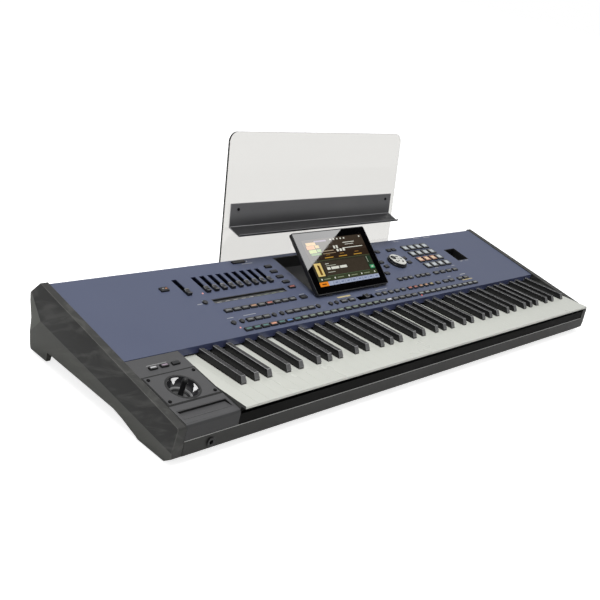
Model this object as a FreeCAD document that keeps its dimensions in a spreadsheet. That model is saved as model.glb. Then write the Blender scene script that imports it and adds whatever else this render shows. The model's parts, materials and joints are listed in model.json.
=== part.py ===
import FreeCAD, Part
import Sketcher
import math
import os
import re

# Seventy-six-note arranger keyboard with a tilting display and a clear music stand.
# Millimetres, +X to the player's right, +Y to the rear, +Z up, floor at zero height.
# Depths are counted from the front of the white keys, heights from the table.

Vector = FreeCAD.Vector
Placement = FreeCAD.Placement
Rotation = FreeCAD.Rotation

doc = FreeCAD.newDocument("arranger_keyboard")
dims = doc.addObject("Spreadsheet::Sheet", "dims")

KEYS = 45
ORDER = "efgabcd"
SIZES = [
    # whole instrument
    ("width", 1198, "over both end panels"),
    ("drawn_wide", 1198, "width that the places along the keyboard are drawn for"),
    ("end_thick", 19, "end panel thickness"),
    ("fit_gap", 0.3, "gap beside a fixed or a moving neighbour"),
    ("overrun", 2, "how far a cut runs past its piece"),
    ("sheet", 1.6, "metal sheet"),
    # end panel outline, depth and height pairs
    ("end_front", 6, ""),
    ("end_front_low", 13, ""),
    ("end_proud", 1, "end panel above the control panel"),
    ("end_front_up", 2.5, "front of its top edge above the control panel's slope"),
    ("end_nose", 4, "radius of the front top corner"),
    ("end_top_rear_past", 3, "rear of the end panel, counted from the rear of the control panel"),
    ("end_rear_past", 22, ""),
    ("end_rear_z", 97, ""),
    ("end_waist_past", 21, ""),
    ("end_waist_z", 85, ""),
    ("end_back_past", 14, ""),
    ("end_back_z", 59, ""),
    ("end_heel_past", 17, ""),
    ("end_heel_z", 12, ""),
    ("end_foot_rear_past", 16, ""),
    ("end_foot_z", 4.5, "rear foot above the table"),
    ("toe_z", 1, "front foot above the table"),
    ("arch_front_z", 3, ""),
    ("end_notch_past", -29, "front of the rear foot"),
    ("arch_rear_past", -33, ""),
    ("arch_z", 22, ""),
    ("arch_mid", 137, ""),
    ("arch_mid_z", 19, ""),
    ("arch_turn", 117, ""),
    ("arch_turn_z", 14.5, ""),
    ("arch_front", 83, ""),
    ("toe_rear", 80, ""),
    ("toe_front", 22, ""),
    ("toe_chin", 14, ""),
    ("toe_chin_z", 7, ""),
    # folds of the outer face
    ("fold_depth_past", -18, "where the two folds meet"),
    ("fold_height", 68, ""),
    ("fold_rise", 8.2, "degrees, long fold against the table"),
    ("fold_tuck", 10.5, "degrees, lower facet turned inward"),
    ("lean_tuck", 7, "degrees, upper facet leaning inward above the long fold"),
    ("rear_rise", 41.6, "degrees, rear fold against the table"),
    ("rear_tuck", 9, "degrees"),
    # control panel
    ("panel_front", 150, ""),
    ("panel_front_z", 81.8, ""),
    ("panel_rear", 340, ""),
    ("panel_rear_z", 118, ""),
    ("panel_lip", 12, "front lip above the keys"),
    ("panel_skirt_z", 84, "foot of the rear fold"),
    # bottom tray and front rail
    ("tray_front", 9.5, ""),
    ("tray_z", 13, "underside"),
    ("tray_wall_z", 32, "rim, clear of the rail's flange"),
    ("rail_top", 6, "depth of the rail's top edge"),
    ("rail_foot", 5.5, "depth of the rail's foot"),
    ("rail_z", 35.5, ""),
    ("rail_back", 9, ""),
    ("rail_flange", 24, ""),
    ("rail_flange_thick", 3, ""),
    ("rail_bevel", 0.6, ""),
    ("apron_front", 6.8, "upright strip behind the key fronts"),
    ("apron_thick", 1.4, ""),
    ("apron_z", 52.5, "its upper edge, clear of pressed keys"),
    # feet
    ("foot_r", 12, ""),
    ("foot_in", 34, "foot centre from the tray's end"),
    ("foot_front", 40, ""),
    ("foot_rear_past", -22, ""),
    # keys
    ("key_inset", 118, "first key from the left end"),
    ("key_outset", 22.5, "last key from the right end"),
    ("key_top", 67, ""),
    ("white_gap", 0.7, ""),
    ("white_long", 152, ""),
    ("white_deep", 12, ""),
    ("lip_thick", 4.2, ""),
    ("lip_deep", 9, ""),
    ("black_wide", 10.4, ""),
    ("black_crown", 8.8, "width of the upper face"),
    ("black_front", 51, ""),
    ("black_rear", 147, ""),
    ("black_rise", 11.3, ""),
    ("black_toe", 3, "upright foot of the front slope"),
    ("black_slope", 5, "run of the front slope"),
    ("black_c_share", 0.9, "black key centres, in white keys from the C or F"),
    ("black_d_share", 2.1, ""),
    ("black_f_share", 0.857, ""),
    ("black_g_share", 2, ""),
    ("black_a_share", 3.143, ""),
    ("notch_gap", 1, ""),
    ("arm_wide", 7, ""),
    ("arm_front", 135, ""),
    ("arm_rear", 241, ""),
    ("arm_deep", 10, ""),
    ("pivot_depth", 232, ""),
    ("pivot_z", 55, ""),
    ("rod_r", 3, ""),
    # key frame
    ("frame_front", 25, ""),
    ("frame_stop_thick", 3, ""),
    ("frame_stop_z", 44, ""),
    ("frame_rear", 246, ""),
    ("frame_base", 3, ""),
    ("frame_cheek", 3, "end plates that carry the rod"),
    ("frame_cheek_front", 222, ""),
    ("frame_cheek_z", 61, ""),
    ("frame_over", 1.2, "frame past the outer keys"),
    # joystick block
    ("block_gap", 1.5, "block to the first key"),
    ("block_front", 1.5, "where the slope of the block's top is counted from"),
    ("block_front_z", 58.5, ""),
    ("block_rear", 149.3, ""),
    ("block_rear_z", 81.2, ""),
    ("block_face", 6, "front face of the block"),
    ("block_nose", 6, ""),
    ("block_wall", 2.5, ""),
    ("plate_left", 2.2, "plate from the block's left side"),
    ("plate_wide", 93, ""),
    ("plate_front", 47.4, ""),
    ("plate_long", 61, ""),
    ("plate_thick", 2, ""),
    ("plate_proud", 0.4, ""),
    ("screw_in", 6, "plate screws from the plate's edges"),
    ("stick_x", 48.6, "stick centre from the block's left side"),
    ("stick_v", 75.5, ""),
    ("cup_r", 22.8, "inside of the bowl"),
    ("cup_wall", 1.5, ""),
    ("cup_hole_r", 14, "opening at the bottom of the bowl"),
    ("cup_rim", 2, "rim past the bowl"),
    ("cup_rim_thick", 1, ""),
    ("skirt_r", 18, "inside of the gimbal housing"),
    ("skirt_wall", 3, ""),
    ("skirt_top", 10, "housing top below the plate"),
    ("skirt_low", 37, "housing foot below the plate"),
    ("ball_drop", 31, "ball centre below the plate"),
    ("ball_r", 11.4, ""),
    ("stick_r", 3.2, ""),
    ("stick_tip_r", 4.2, ""),
    ("stick_up", 15, "stick above the plate"),
    ("stick_tip_long", 9, ""),
    ("ring_in", 12.4, ""),
    ("ring_out", 15.6, ""),
    ("ring_thick", 5, ""),
    ("pin_r", 1.5, "gimbal pins"),
    ("ribbon_left", 4.5, "ribbon from the block's left side"),
    ("ribbon_wide", 88, ""),
    ("ribbon_front", 17, ""),
    ("ribbon_long", 17, ""),
    ("ribbon_deep", 6, ""),
    ("ribbon_floor", 2, ""),
    ("ribbon_wall", 1, ""),
    ("ribbon_shallow", 0.8, "depth of the bed at its front"),
    ("assign_left", 33, "first assign button from the block's left side"),
    ("assign_pitch", 20.3, ""),
    ("assign_v", 124.5, ""),
    ("assign_wide", 13.5, ""),
    ("assign_long", 6.5, ""),
    # buttons
    ("cap_gap", 0.4, "button in its hole"),
    ("cap_up", 2.6, ""),
    ("cap_down", 6, ""),
    ("cap_long", 8, ""),
    ("cap_round_r", 4.6, ""),
    ("pad_long", 17, ""),
    ("row_one_v", 12.2, "rows counted up the slope from the front edge"),
    ("row_two_v", 33, ""),
    ("row_three_v", 63.6, ""),
    ("row_strip_v", 92.6, ""),
    ("single_v", 140, ""),
    ("single_long", 10, ""),
    ("side_v", 95.5, ""),
    ("side_pitch", 16.5, ""),
    ("side_long", 7, ""),
    ("pad_v", 91, ""),
    ("pad_row", 22.3, ""),
    ("page_v", 159.2, ""),
    ("enter_v", 110.7, ""),
    ("enter_pitch", 15.5, ""),
    ("cursor_v", 109, ""),
    ("menu_v", 88, ""),
    ("standby_in", 7.4, "standby button from the panel's rear edge"),
    ("standby_long", 7, ""),
    # sliders
    ("slot_wide", 10.6, ""),
    ("slot_v", 116, ""),
    ("slot_long", 46, ""),
    ("knob_wide", 9.4, ""),
    ("knob_long", 13, ""),
    ("knob_up", 5, ""),
    ("knob_down", 3, ""),
    ("knob_dip", 1.4, "hollow along the finger face"),
    ("stem_wide", 2, ""),
    ("stem_long", 6, ""),
    ("stem_down", 14, ""),
    ("knob_start", 1, "slider from the slot's front end"),
    # dial
    ("dial_v", 117, ""),
    ("dial_r", 20, ""),
    ("dial_skirt_r", 21.5, ""),
    ("dial_lift", 0.6, ""),
    ("dial_skirt_up", 4, ""),
    ("dial_up", 8, ""),
    ("dial_edge", 1, ""),
    ("dial_dip_r", 8, "finger hollow in the wheel"),
    ("dial_dip_deep", 1.8, ""),
    ("dial_dip_out", 10.5, "finger hollow from the wheel's centre"),
    ("dial_dip_turn", 128, "degrees, finger hollow as the wheel stands"),
    ("shaft_r", 3, ""),
    ("shaft_down", 12, ""),
    # strip window and memory-stick well
    ("strip_long", 11.2, ""),
    ("strip_deep", 6, ""),
    ("strip_floor", 2, ""),
    ("strip_wall", 1, ""),
    ("strip_shallow", 0.8, "depth of the bed at its front"),
    ("usb_v", 91, ""),
    ("usb_long", 43.9, ""),
    ("usb_deep", 18, ""),
    ("usb_wall", 1.5, ""),
    ("usb_slot_wide", 13, ""),
    ("usb_slot_high", 6.5, ""),
    ("usb_slot_deep", 10, ""),
    ("usb_block", 13, "socket block behind the rear wall"),
    ("usb_slot_up", 4, "slot above the well's floor"),
    # display
    ("screen_high", 124, ""),
    ("screen_tilt", 41.2, "degrees, as it stands"),
    ("hinge_v", 56.8, ""),
    ("hinge_w", 0.6, ""),
    ("bezel_thick", 6.5, ""),
    ("bezel_corner", 4, ""),
    ("glass_in", 1.5, ""),
    ("glass_thick", 0.8, ""),
    ("glass_gap", 0.1, ""),
    ("shell_low", 9, ""),
    ("shell_top", 112, ""),
    ("shell_deep", 11, ""),
    ("knuckle_r", 2.4, ""),
    ("knuckle_half", 5, ""),
    ("hinge_pin_r", 1.1, ""),
    ("ear_thick", 3, ""),
    ("ear_low", 3, ""),
    ("well_v", 62, ""),
    ("well_in", 7.4, "display well from the panel's rear edge"),
    ("well_deep", 27, ""),
    ("well_wall", 1.6, ""),
    # music stand
    ("stand_front_past", 5, "front face of the stand's plate at its datum height"),
    ("stand_z", 107, "datum height"),
    ("stand_lean", 9.3, "degrees"),
    ("stand_rise", 235.6, "plate above the datum"),
    ("stand_drop", 16, "plate below the datum"),
    ("stand_thick", 4, ""),
    ("stand_corner", 18, ""),
    ("ledge_low", 68.5, ""),
    ("ledge_high", 111.3, ""),
    ("ledge_sheet", 1.5, ""),
    ("ledge_fall", 11.5, "how far the shelf falls towards its lip"),
    ("ledge_out", 27, ""),
    ("ledge_lip", 4.5, ""),
    ("ledge_screw_in", 19, ""),
    ("ledge_screw_v", 100.5, ""),
    ("bracket_wide", 36, ""),
    ("bracket_z", 85, ""),
    ("bracket_top", 111, ""),
    ("bracket_wall", 2.6, ""),
    # rear panel and sockets
    ("rear_foot_z", 33.4, ""),
    ("rear_head_z", 83.6, ""),
    ("jack_r", 3.3, "bore for a quarter-inch plug"),
    ("jack_body_r", 5.6, ""),
    ("jack_long", 30, ""),
    ("jack_nut_r", 7, ""),
    ("jack_nut_thick", 2, ""),
    ("jack_z", 58, ""),
    ("phones_in", 68, "phones socket from the left end"),
    ("phones_z", 22.5, ""),
    ("phones_long", 24, ""),
    ("din_r", 8.2, ""),
    ("din_deep", 12, ""),
    ("port_wide", 12.2, ""),
    ("port_high", 11, ""),
    ("port_deep", 16, ""),
    ("inlet_wide", 48, ""),
    ("inlet_high", 27, ""),
    ("inlet_flange", 2.5, ""),
    ("inlet_body_wide", 30, ""),
    ("inlet_body_high", 23, ""),
    ("inlet_deep", 24, ""),
    ("inlet_slot_wide", 24.6, ""),
    ("inlet_slot_high", 17, ""),
    ("inlet_slot_deep", 18, ""),
    ("inlet_prong_wide", 2, ""),
    ("inlet_prong_high", 4, ""),
    ("inlet_prong_pitch", 7, ""),
    # screws
    ("screw_r", 1.5, ""),
    ("screw_long", 6, ""),
    ("head_r", 2.7, ""),
    ("head_thick", 1.4, ""),
    ("hole_r", 1.7, ""),
    ("frame_screw_in", 129.7, "outer screws of the key frame from the tray's ends"),
    ("frame_screw_depth", 45, ""),
    # main board
    ("board_front", 262, ""),
    ("board_long", 62, ""),
    ("board_thick", 1.6, ""),
    ("post_r", 4, ""),
    ("post_high", 8, ""),
    ("post_in", 8, "posts from the board's edges"),
    ("chip_wide", 30, ""),
    ("chip_high", 3, ""),
    ("heat_wide", 70, ""),
    ("heat_high", 22, ""),
]
# Places and widths along the keyboard, drawn for drawn_wide and spread with the real width.
ACROSS = [
    ("cap_wide", 16, "button caps"),
    ("cap_small", 12.5, "narrow caps"),
    ("pad_wide", 19, ""),
    ("colour_left_u", -326, "front row, three groups"),
    ("colour_left_pitch", 19.1, ""),
    ("colour_mid_u", -97, ""),
    ("colour_mid_pitch", 20.4, ""),
    ("colour_right_u", 151, ""),
    ("colour_right_pitch", 19.9, ""),
    ("mode_u", -341, "second row, left"),
    ("mode_pitch", 18.55, ""),
    ("bank_u", -326.5, "third row, left"),
    ("bank_pitch", 19.07, ""),
    ("extra_u", -145.3, "last button of the third row, left"),
    ("single_u", -402, "button left of the sliders"),
    ("side_u", -144.5, "upright row beside the sliders"),
    ("song_u", -103, "second row, round caps"),
    ("song_pitch", 16, ""),
    ("tempo_u", -66, ""),
    ("tempo_pitch", 22, ""),
    ("voice_u", 36, "second row, middle"),
    ("voice_pitch", 19.8, ""),
    ("style_u", 139, "second row, right"),
    ("style_pitch", 18.5, ""),
    ("fill_u", 237.7, "single cap after the style group"),
    ("intro_u", 265.4, ""),
    ("intro_pitch", 22, ""),
    ("start_u", 320, ""),
    ("part_u", 142, "third row, right"),
    ("part_pitch", 18.5, ""),
    ("split_u", 204, ""),
    ("split_pitch", 17.6, ""),
    ("track_u", 271, "third row, far right"),
    ("track_pitch", 23.7, ""),
    ("pad_u", 276, "first of four pads"),
    ("pad_pitch", 23.6, ""),
    ("page_u", 178.5, "small buttons around the dial"),
    ("shift_u", 218, ""),
    ("shift_pitch", 17, ""),
    ("enter_u", 233, ""),
    ("cursor_u", 151.5, ""),
    ("menu_u", 129, ""),
    ("standby_u", -198, "standby button"),
    ("standby_wide", 30, ""),
    ("bank_slot_u", -324, "first of nine slots"),
    ("bank_slot_pitch", 18.6, ""),
    ("master_slot_u", -365.5, ""),
    ("cross_u", -2, "slider between the groups"),
    ("cross_long", 48, ""),
    ("dial_u", 196, "value dial"),
    ("strip_wide", 171.5, "strip window"),
    ("usb_wide", 41.5, "memory-stick well"),
    ("screen_x", -14.5, "display"),
    ("screen_wide", 208.6, ""),
    ("shell_wide", 184, "rear shell of the display"),
    ("knuckle_x", 70, "hinge from the middle of the display"),
    ("well_wide", 190, "well behind the display"),
    ("stand_x", 19.5, "music stand"),
    ("stand_wide", 495, ""),
    ("ledge_wide", 469, ""),
    ("bracket_x", 150, "bracket from the middle of the stand"),
    ("jack_x", 120, "first rear jack"),
    ("jack_pitch", 26, ""),
    ("din_x", -20, "round data sockets"),
    ("din_pitch", 28, ""),
    ("port_x", -80, "data port"),
    ("inlet_x", -420, "mains inlet"),
    ("board_left", -430, "main board"),
    ("board_wide", 520, ""),
    ("strip_gap", 11, "strip window to the side buttons"),
    ("round_gap", 13.4, "round button to the strip window"),
    ("usb_gap", 38.7, "memory-stick well to the pads"),
]
DERIVED = [
    ("end_top_rear", "panel_rear + end_top_rear_past"),
    ("end_rear", "panel_rear + end_rear_past"),
    ("end_waist", "panel_rear + end_waist_past"),
    ("end_back", "panel_rear + end_back_past"),
    ("end_heel", "panel_rear + end_heel_past"),
    ("end_foot_rear", "panel_rear + end_foot_rear_past"),
    ("end_notch", "panel_rear + end_notch_past"),
    ("arch_rear", "panel_rear + arch_rear_past"),
    ("fold_depth", "panel_rear + fold_depth_past"),
    ("rear_turn", "rear_rise + asin(tan(lean_tuck * 1deg) * sin((rear_rise - fold_rise) * 1deg)"
     " / tan(rear_tuck * 1deg)) / 1deg"),
    ("foot_rear", "panel_rear + foot_rear_past"),
    ("stand_front", "panel_rear + stand_front_past"),
    ("inner_half", "width / 2 - end_thick"),
    ("side_half", "inner_half - fit_gap"),
    ("depth", "stand_front + stand_rise * sin(stand_lean * 1deg) + stand_thick * cos(stand_lean * 1deg)"),
    ("front_y", "-depth / 2"),
    ("fold_reach", "2 * depth"),
    ("panel_tan", "(panel_rear_z - panel_front_z) / (panel_rear - panel_front)"),
    ("panel_slope", "atan(panel_tan) / 1deg"),
    ("panel_run", "(panel_rear - panel_front) / cos(panel_slope * 1deg)"),
    ("panel_drop", "sheet / cos(panel_slope * 1deg)"),
    ("block_tan", "(block_rear_z - block_front_z) / (block_rear - block_front)"),
    ("block_slope", "atan(block_tan) / 1deg"),
    ("block_face_z", "block_front_z + block_tan * (block_face - block_front)"),
    ("block_left", "-side_half"),
    ("key_left", "key_inset - width / 2"),
    ("block_right", "key_left - block_gap"),
    ("block_wide", "block_right - block_left"),
    ("keys_wide", "width - key_inset - key_outset"),
    ("white_pitch", "keys_wide / %d" % KEYS),
    ("black_c", "white_pitch * black_c_share"),
    ("black_d", "white_pitch * black_d_share"),
    ("black_f", "white_pitch * black_f_share"),
    ("black_g", "white_pitch * black_g_share"),
    ("black_a", "white_pitch * black_a_share"),
    ("notch_half", "black_wide / 2 + notch_gap"),
    ("tray_floor", "tray_z + sheet"),
    ("stick_cx", "block_left + stick_x"),
    ("screen_front", "panel_front + hinge_v * cos(panel_slope * 1deg) - hinge_w * sin(panel_slope * 1deg)"),
    ("screen_z", "panel_front_z + hinge_v * sin(panel_slope * 1deg) + hinge_w * cos(panel_slope * 1deg)"),
    ("stand_tan", "tan(stand_lean * 1deg)"),
    ("bore_r", "rod_r + fit_gap"),
    ("phones_x", "phones_in - width / 2"),
    ("frame_screw_x", "(side_half - frame_screw_in) / 3"),
    ("standby_v", "panel_run - standby_in"),
    ("well_long", "panel_run - well_v - well_in"),
    ("strip_u", "side_u - cap_wide / 2 - strip_gap - strip_wide"),
    ("round_u", "strip_u - round_gap - cap_round_r"),
    ("usb_u", "pad_u + 3 * pad_pitch + pad_wide / 2 + usb_gap"),
]

row = 0
NAMES = set()
for alias, amount, note in SIZES:
    row += 1
    dims.set("A%d" % row, alias)
    dims.set("B%d" % row, str(amount))
    dims.set("C%d" % row, note)
    dims.setAlias("B%d" % row, alias)
    NAMES.add(alias)
FORMULAS = [("spread", "width / drawn_wide", "")]
FORMULAS += [(alias, "%s * spread" % amount, note) for alias, amount, note in ACROSS]
FORMULAS += [(alias, formula, "") for alias, formula in DERIVED]
for alias, formula, note in FORMULAS:
    row += 1
    dims.set("A%d" % row, alias)
    dims.set("B%d" % row, "=" + formula)
    dims.set("C%d" % row, note)
    dims.setAlias("B%d" % row, alias)
    NAMES.add(alias)
doc.recompute()

WORD = re.compile(r"[a-z][a-z_]*")


def num(alias):
    return float(getattr(dims, alias))


def bound(text):
    return WORD.sub(lambda m: "dims." + m.group() if m.group() in NAMES else m.group(), text)


def bind(item, prop, text):
    item.setExpression(prop, bound(text))


def move(item, x="0", y="0", z="0"):
    for axis, text in zip("xyz", (x, y, z)):
        bind(item, "Placement.Base." + axis, text)


def tilt(item, frame):
    """Puts an item into a frame turned about X: its origin and its angle."""
    x, y, z, angle = frame
    item.Placement = Placement(Vector(), Rotation(Vector(1, 0, 0), 1))
    move(item, x, y, z)
    bind(item, "Placement.Rotation.Angle", angle)
    return item


PANEL = ("0", "front_y + panel_front", "panel_front_z", "panel_slope")
BLOCK = ("0", "front_y + block_front", "block_front_z", "block_slope")
SCREEN = ("screen_x", "front_y + screen_front", "screen_z", "screen_tilt")
STAND = ("stand_x", "front_y + stand_front", "stand_z", "90 - stand_lean")
STICK = ("stick_cx", "front_y + block_front + stick_v * cos(block_slope * 1deg)",
         "block_front_z + stick_v * sin(block_slope * 1deg)", "block_slope")


def box(name, at, size):
    item = doc.addObject("Part::Box", name)
    for prop, text in zip(("Length", "Width", "Height"), size):
        bind(item, prop, text)
    move(item, *at)
    return item


TURNS = {"z": Rotation(), "x": Rotation(Vector(0, 1, 0), 90), "y": Rotation(Vector(1, 0, 0), -90)}


def rod(name, at, radius, length, axis="z"):
    item = doc.addObject("Part::Cylinder", name)
    bind(item, "Radius", radius)
    bind(item, "Height", length)
    item.Placement = Placement(Vector(), TURNS[axis])
    move(item, *at)
    return item


def ball(name, at, radius):
    item = doc.addObject("Part::Sphere", name)
    bind(item, "Radius", radius)
    move(item, *at)
    return item


def group(name, items):
    item = doc.addObject("Part::Compound", name)
    item.Links = items
    return item


def fuse(name, items):
    item = doc.addObject("Part::MultiFuse", name)
    item.Shapes = items
    item.Refine = True
    return item


def cut(name, base, tools):
    item = doc.addObject("Part::Cut", name)
    item.Base = base
    item.Tool = tools if not isinstance(tools, list) else group(name + "_cuts", tools)
    return item


def plane(body, role):
    return [f for f in body.Origin.OriginFeatures if f.Role == role][0]


def new_body(name):
    return doc.addObject("PartDesign::Body", name)


def outline(body, role, points, start="0"):
    """Closed sketch through points given as pairs of formulas."""
    sketch = body.newObject("Sketcher::SketchObject", body.Name + "_sketch")
    sketch.AttachmentSupport = (plane(body, role), [""])
    sketch.MapMode = "FlatFace"
    bind(sketch, "AttachmentOffset.Base.z", start)
    count = len(points)
    seeds = []
    for i in range(count):
        turn = math.tau * i / count
        seeds.append(Vector(math.cos(turn), math.sin(turn), 0) * count)
    for i in range(count):
        sketch.addGeometry(Part.LineSegment(seeds[i], seeds[(i + 1) % count]), False)
    for i in range(count):
        sketch.addConstraint(Sketcher.Constraint("Coincident", i, 2, (i + 1) % count, 1))
    for i, (across, up) in enumerate(points):
        first = sketch.addConstraint(Sketcher.Constraint("DistanceX", -1, 1, i, 1, seeds[i].x))
        second = sketch.addConstraint(Sketcher.Constraint("DistanceY", -1, 1, i, 1, seeds[i].y))
        bind(sketch, "Constraints[%d]" % first, across)
        bind(sketch, "Constraints[%d]" % second, up)
    return sketch


def hoop(body, role, centre, radius, start="0"):
    """Round sketch."""
    sketch = body.newObject("Sketcher::SketchObject", body.Name + "_round")
    sketch.AttachmentSupport = (plane(body, role), [""])
    sketch.MapMode = "FlatFace"
    bind(sketch, "AttachmentOffset.Base.z", start)
    seed = num("overrun")
    sketch.addGeometry(Part.Circle(Vector(seed, seed, 0), Vector(0, 0, 1), seed), False)
    for kind, text in zip(("DistanceX", "DistanceY"), centre):
        index = sketch.addConstraint(Sketcher.Constraint(kind, -1, 1, 0, 3, seed))
        bind(sketch, "Constraints[%d]" % index, text)
    index = sketch.addConstraint(Sketcher.Constraint("Radius", 0, seed))
    bind(sketch, "Constraints[%d]" % index, radius)
    return sketch


def pad(body, sketch, length):
    item = body.newObject("PartDesign::Pad", body.Name + "_pad")
    item.Profile = (sketch, [""])
    bind(item, "Length", length)
    body.Tip = item
    return item


def pocket(body, sketch, length):
    """Cuts from the sketch against its normal."""
    item = body.newObject("PartDesign::Pocket", body.Name + "_pocket")
    item.Profile = (sketch, [""])
    bind(item, "Length", length)
    body.Tip = item
    return item


def turned(body, points):
    """Solid of revolution about Z from points given as radius and height."""
    sketch = outline(body, "XZ_Plane", points)
    item = body.newObject("PartDesign::Revolution", body.Name + "_turn")
    item.Profile = (sketch, [""])
    item.ReferenceAxis = (sketch, ["V_Axis"])
    body.Tip = item
    return item


def rectangle(left, low, wide, high):
    return [(left, low), (left + " + " + wide, low), (left + " + " + wide, low + " + " + high),
            (left, low + " + " + high)]


def edges_at(feature, test):
    doc.recompute()
    found = []
    for i, edge in enumerate(feature.Shape.Edges):
        if test(edge.Vertexes[0].Point, edge.Vertexes[-1].Point):
            found.append("Edge%d" % (i + 1))
    return found


def dress(body, kind, feature, names, prop, size):
    item = body.newObject("PartDesign::" + kind, body.Name + "_" + kind.lower())
    item.Base = (feature, names)
    bind(item, prop, size)
    body.Tip = item
    return item


SLACK = 1e-4


def near(value, wanted):
    return abs(value - wanted) < SLACK


# End panels: one outline with a rounded nose, its outside folded into three facets.
end = new_body("left_end_panel")
move(end, "-width / 2", "front_y")
top_at = "panel_front_z + end_proud + panel_tan * (%s - panel_front)"
END_OUTLINE = [
    ("end_front", "end_front_low"), ("end_front", top_at % "end_front" + " + end_front_up"),
    ("end_top_rear", top_at % "end_top_rear"), ("end_rear", "end_rear_z"), ("end_waist", "end_waist_z"),
    ("end_back", "end_back_z"), ("end_heel", "end_heel_z"), ("end_foot_rear", "end_foot_z"),
    ("end_notch", "end_foot_z"), ("arch_rear", "arch_z"), ("arch_mid", "arch_mid_z"),
    ("arch_turn", "arch_turn_z"), ("arch_front", "arch_front_z"), ("toe_rear", "toe_z"),
    ("toe_front", "toe_z"), ("toe_chin", "toe_chin_z")]
end_pad = pad(end, outline(end, "YZ_Plane", END_OUTLINE), "end_thick")
nose = edges_at(end_pad, lambda a, b: near(a.y, num("end_front")) and near(b.y, num("end_front"))
                and not near(a.x, b.x) and a.z > num("end_heel_z") * 2)
end_round = dress(end, "Fillet", end_pad, nose, "Radius", "end_nose")
for word, tuck, rise in (("fold", "fold_tuck", "fold_rise"), ("rear", "rear_tuck", "rear_turn"),
                         ("lean", "(-lean_tuck)", "fold_rise")):
    facet = end.newObject("PartDesign::SubtractiveBox", "end_" + word)
    for prop in ("Length", "Width", "Height"):
        bind(facet, prop, "fold_reach")
    facet.AttachmentSupport = (plane(end, "XY_Plane"), [""])
    facet.MapMode = "FlatFace"
    swing = "-atan(tan(%s * 1deg) * sin(%s * 1deg))" % (tuck, rise)
    dip = "-asin(sin(%s * 1deg) * cos(%s * 1deg))" % (tuck, rise)
    bind(facet, "AttachmentOffset",
         "placement(vector(0; fold_depth; fold_height); rotation(%s; %s; 0))" % (swing, dip)
         + " * placement(vector(-fold_reach; -fold_reach / 2; -fold_reach / 2); rotation(0; 0; 0))")
    end.Tip = facet
mirror = doc.addObject("Part::Mirroring", "right_end_panel")
mirror.Source = end
mirror.Normal = Vector(1, 0, 0)
mirror.Base = Vector(0, 0, 0)

# Bottom tray: folded sheet, open above.
tray = new_body("bottom_case")
move(tray, "0", "front_y")
pad(tray, outline(tray, "XY_Plane", rectangle("-side_half", "tray_front", "2 * side_half",
                                              "panel_rear - tray_front"), "tray_z"), "tray_wall_z - tray_z")
pocket(tray, outline(tray, "XY_Plane", rectangle("-side_half + sheet", "tray_front + sheet",
                                                 "2 * side_half - 2 * sheet",
                                                 "panel_rear - tray_front - 2 * sheet"),
                     "tray_wall_z"), "tray_wall_z - tray_floor")
FRAME_SCREWS = [("frame_screw_x * %d" % i, "frame_screw_depth") for i in (-3, -1, 1, 3)]
POSTS = [("board_left + " + a, "board_front + " + b)
         for a in ("post_in", "board_wide - post_in") for b in ("post_in", "board_long - post_in")]
for x, y in FRAME_SCREWS + POSTS:
    pocket(tray, hoop(tray, "XY_Plane", (x, y), "hole_r", "tray_floor + overrun"), "sheet + 2 * overrun")
pocket(tray, hoop(tray, "XZ_Plane", ("phones_x", "phones_z"), "jack_body_r + fit_gap",
                  "overrun - tray_front"), "sheet + 2 * overrun")

# Rubber feet under the tray.
feet = []
for side in (-1, 1):
    for where in ("foot_front", "foot_rear"):
        feet.append(rod("foot", ("(side_half - foot_in) * %d" % side, "front_y + " + where, "0"),
                        "foot_r", "tray_z"))
group("feet", feet)

# Front rail under the keys, with the hole for the phones socket.
rail = new_body("rail_form")
move(rail, "0", "front_y")
pad(rail, outline(rail, "YZ_Plane", [
    ("rail_top + rail_bevel", "rail_z"), ("rail_top", "rail_z - rail_bevel"), ("rail_foot", "tray_z"),
    ("rail_back", "tray_z"), ("rail_back", "rail_z - rail_flange_thick"),
    ("rail_flange", "rail_z - rail_flange_thick"), ("rail_flange", "rail_z")], "-side_half"), "2 * side_half")
apron = rectangle("apron_front", "rail_z - rail_flange_thick", "apron_thick",
                  "apron_z - rail_z + rail_flange_thick")
pad(rail, outline(rail, "YZ_Plane", apron, "key_left"), "keys_wide")
cut("front_rail", rail, [
    rod("phones_hole", ("phones_x", "front_y - overrun", "phones_z"), "jack_body_r + fit_gap",
        "rail_back + 2 * overrun", "y"),
    rod("phones_seat", ("phones_x", "front_y - overrun", "phones_z"), "jack_nut_r + fit_gap",
        "rail_foot + overrun", "y")])

# Key frame: pan, front stop, end plates and the pivot rod.
frame = new_body("frame_pan")
move(frame, "0", "front_y")
pad(frame, outline(frame, "YZ_Plane", [
    ("frame_front", "tray_floor"), ("frame_front", "frame_stop_z"),
    ("frame_front + frame_stop_thick", "frame_stop_z"),
    ("frame_front + frame_stop_thick", "tray_floor + frame_base"), ("frame_rear", "tray_floor + frame_base"),
    ("frame_rear", "tray_floor")], "key_left - frame_over"), "keys_wide + 2 * frame_over")
frame_bits = [frame]
for x in ("key_left - frame_over", "key_left + keys_wide + frame_over - frame_cheek"):
    frame_bits.append(box("frame_plate", (x, "front_y + frame_cheek_front", "tray_floor"),
                          ("frame_cheek", "frame_rear - frame_cheek_front", "frame_cheek_z - tray_floor")))
frame_bits.append(rod("frame_rod", ("key_left - frame_over", "front_y + pivot_depth", "pivot_z"), "rod_r",
                      "keys_wide + 2 * frame_over", "x"))
frame_holes = [rod("frame_hole", (x, "front_y + " + y, "tray_floor - overrun"), "hole_r",
                   "frame_base + 2 * overrun") for x, y in FRAME_SCREWS]
cut("key_frame", fuse("frame_whole", frame_bits), frame_holes)


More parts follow.
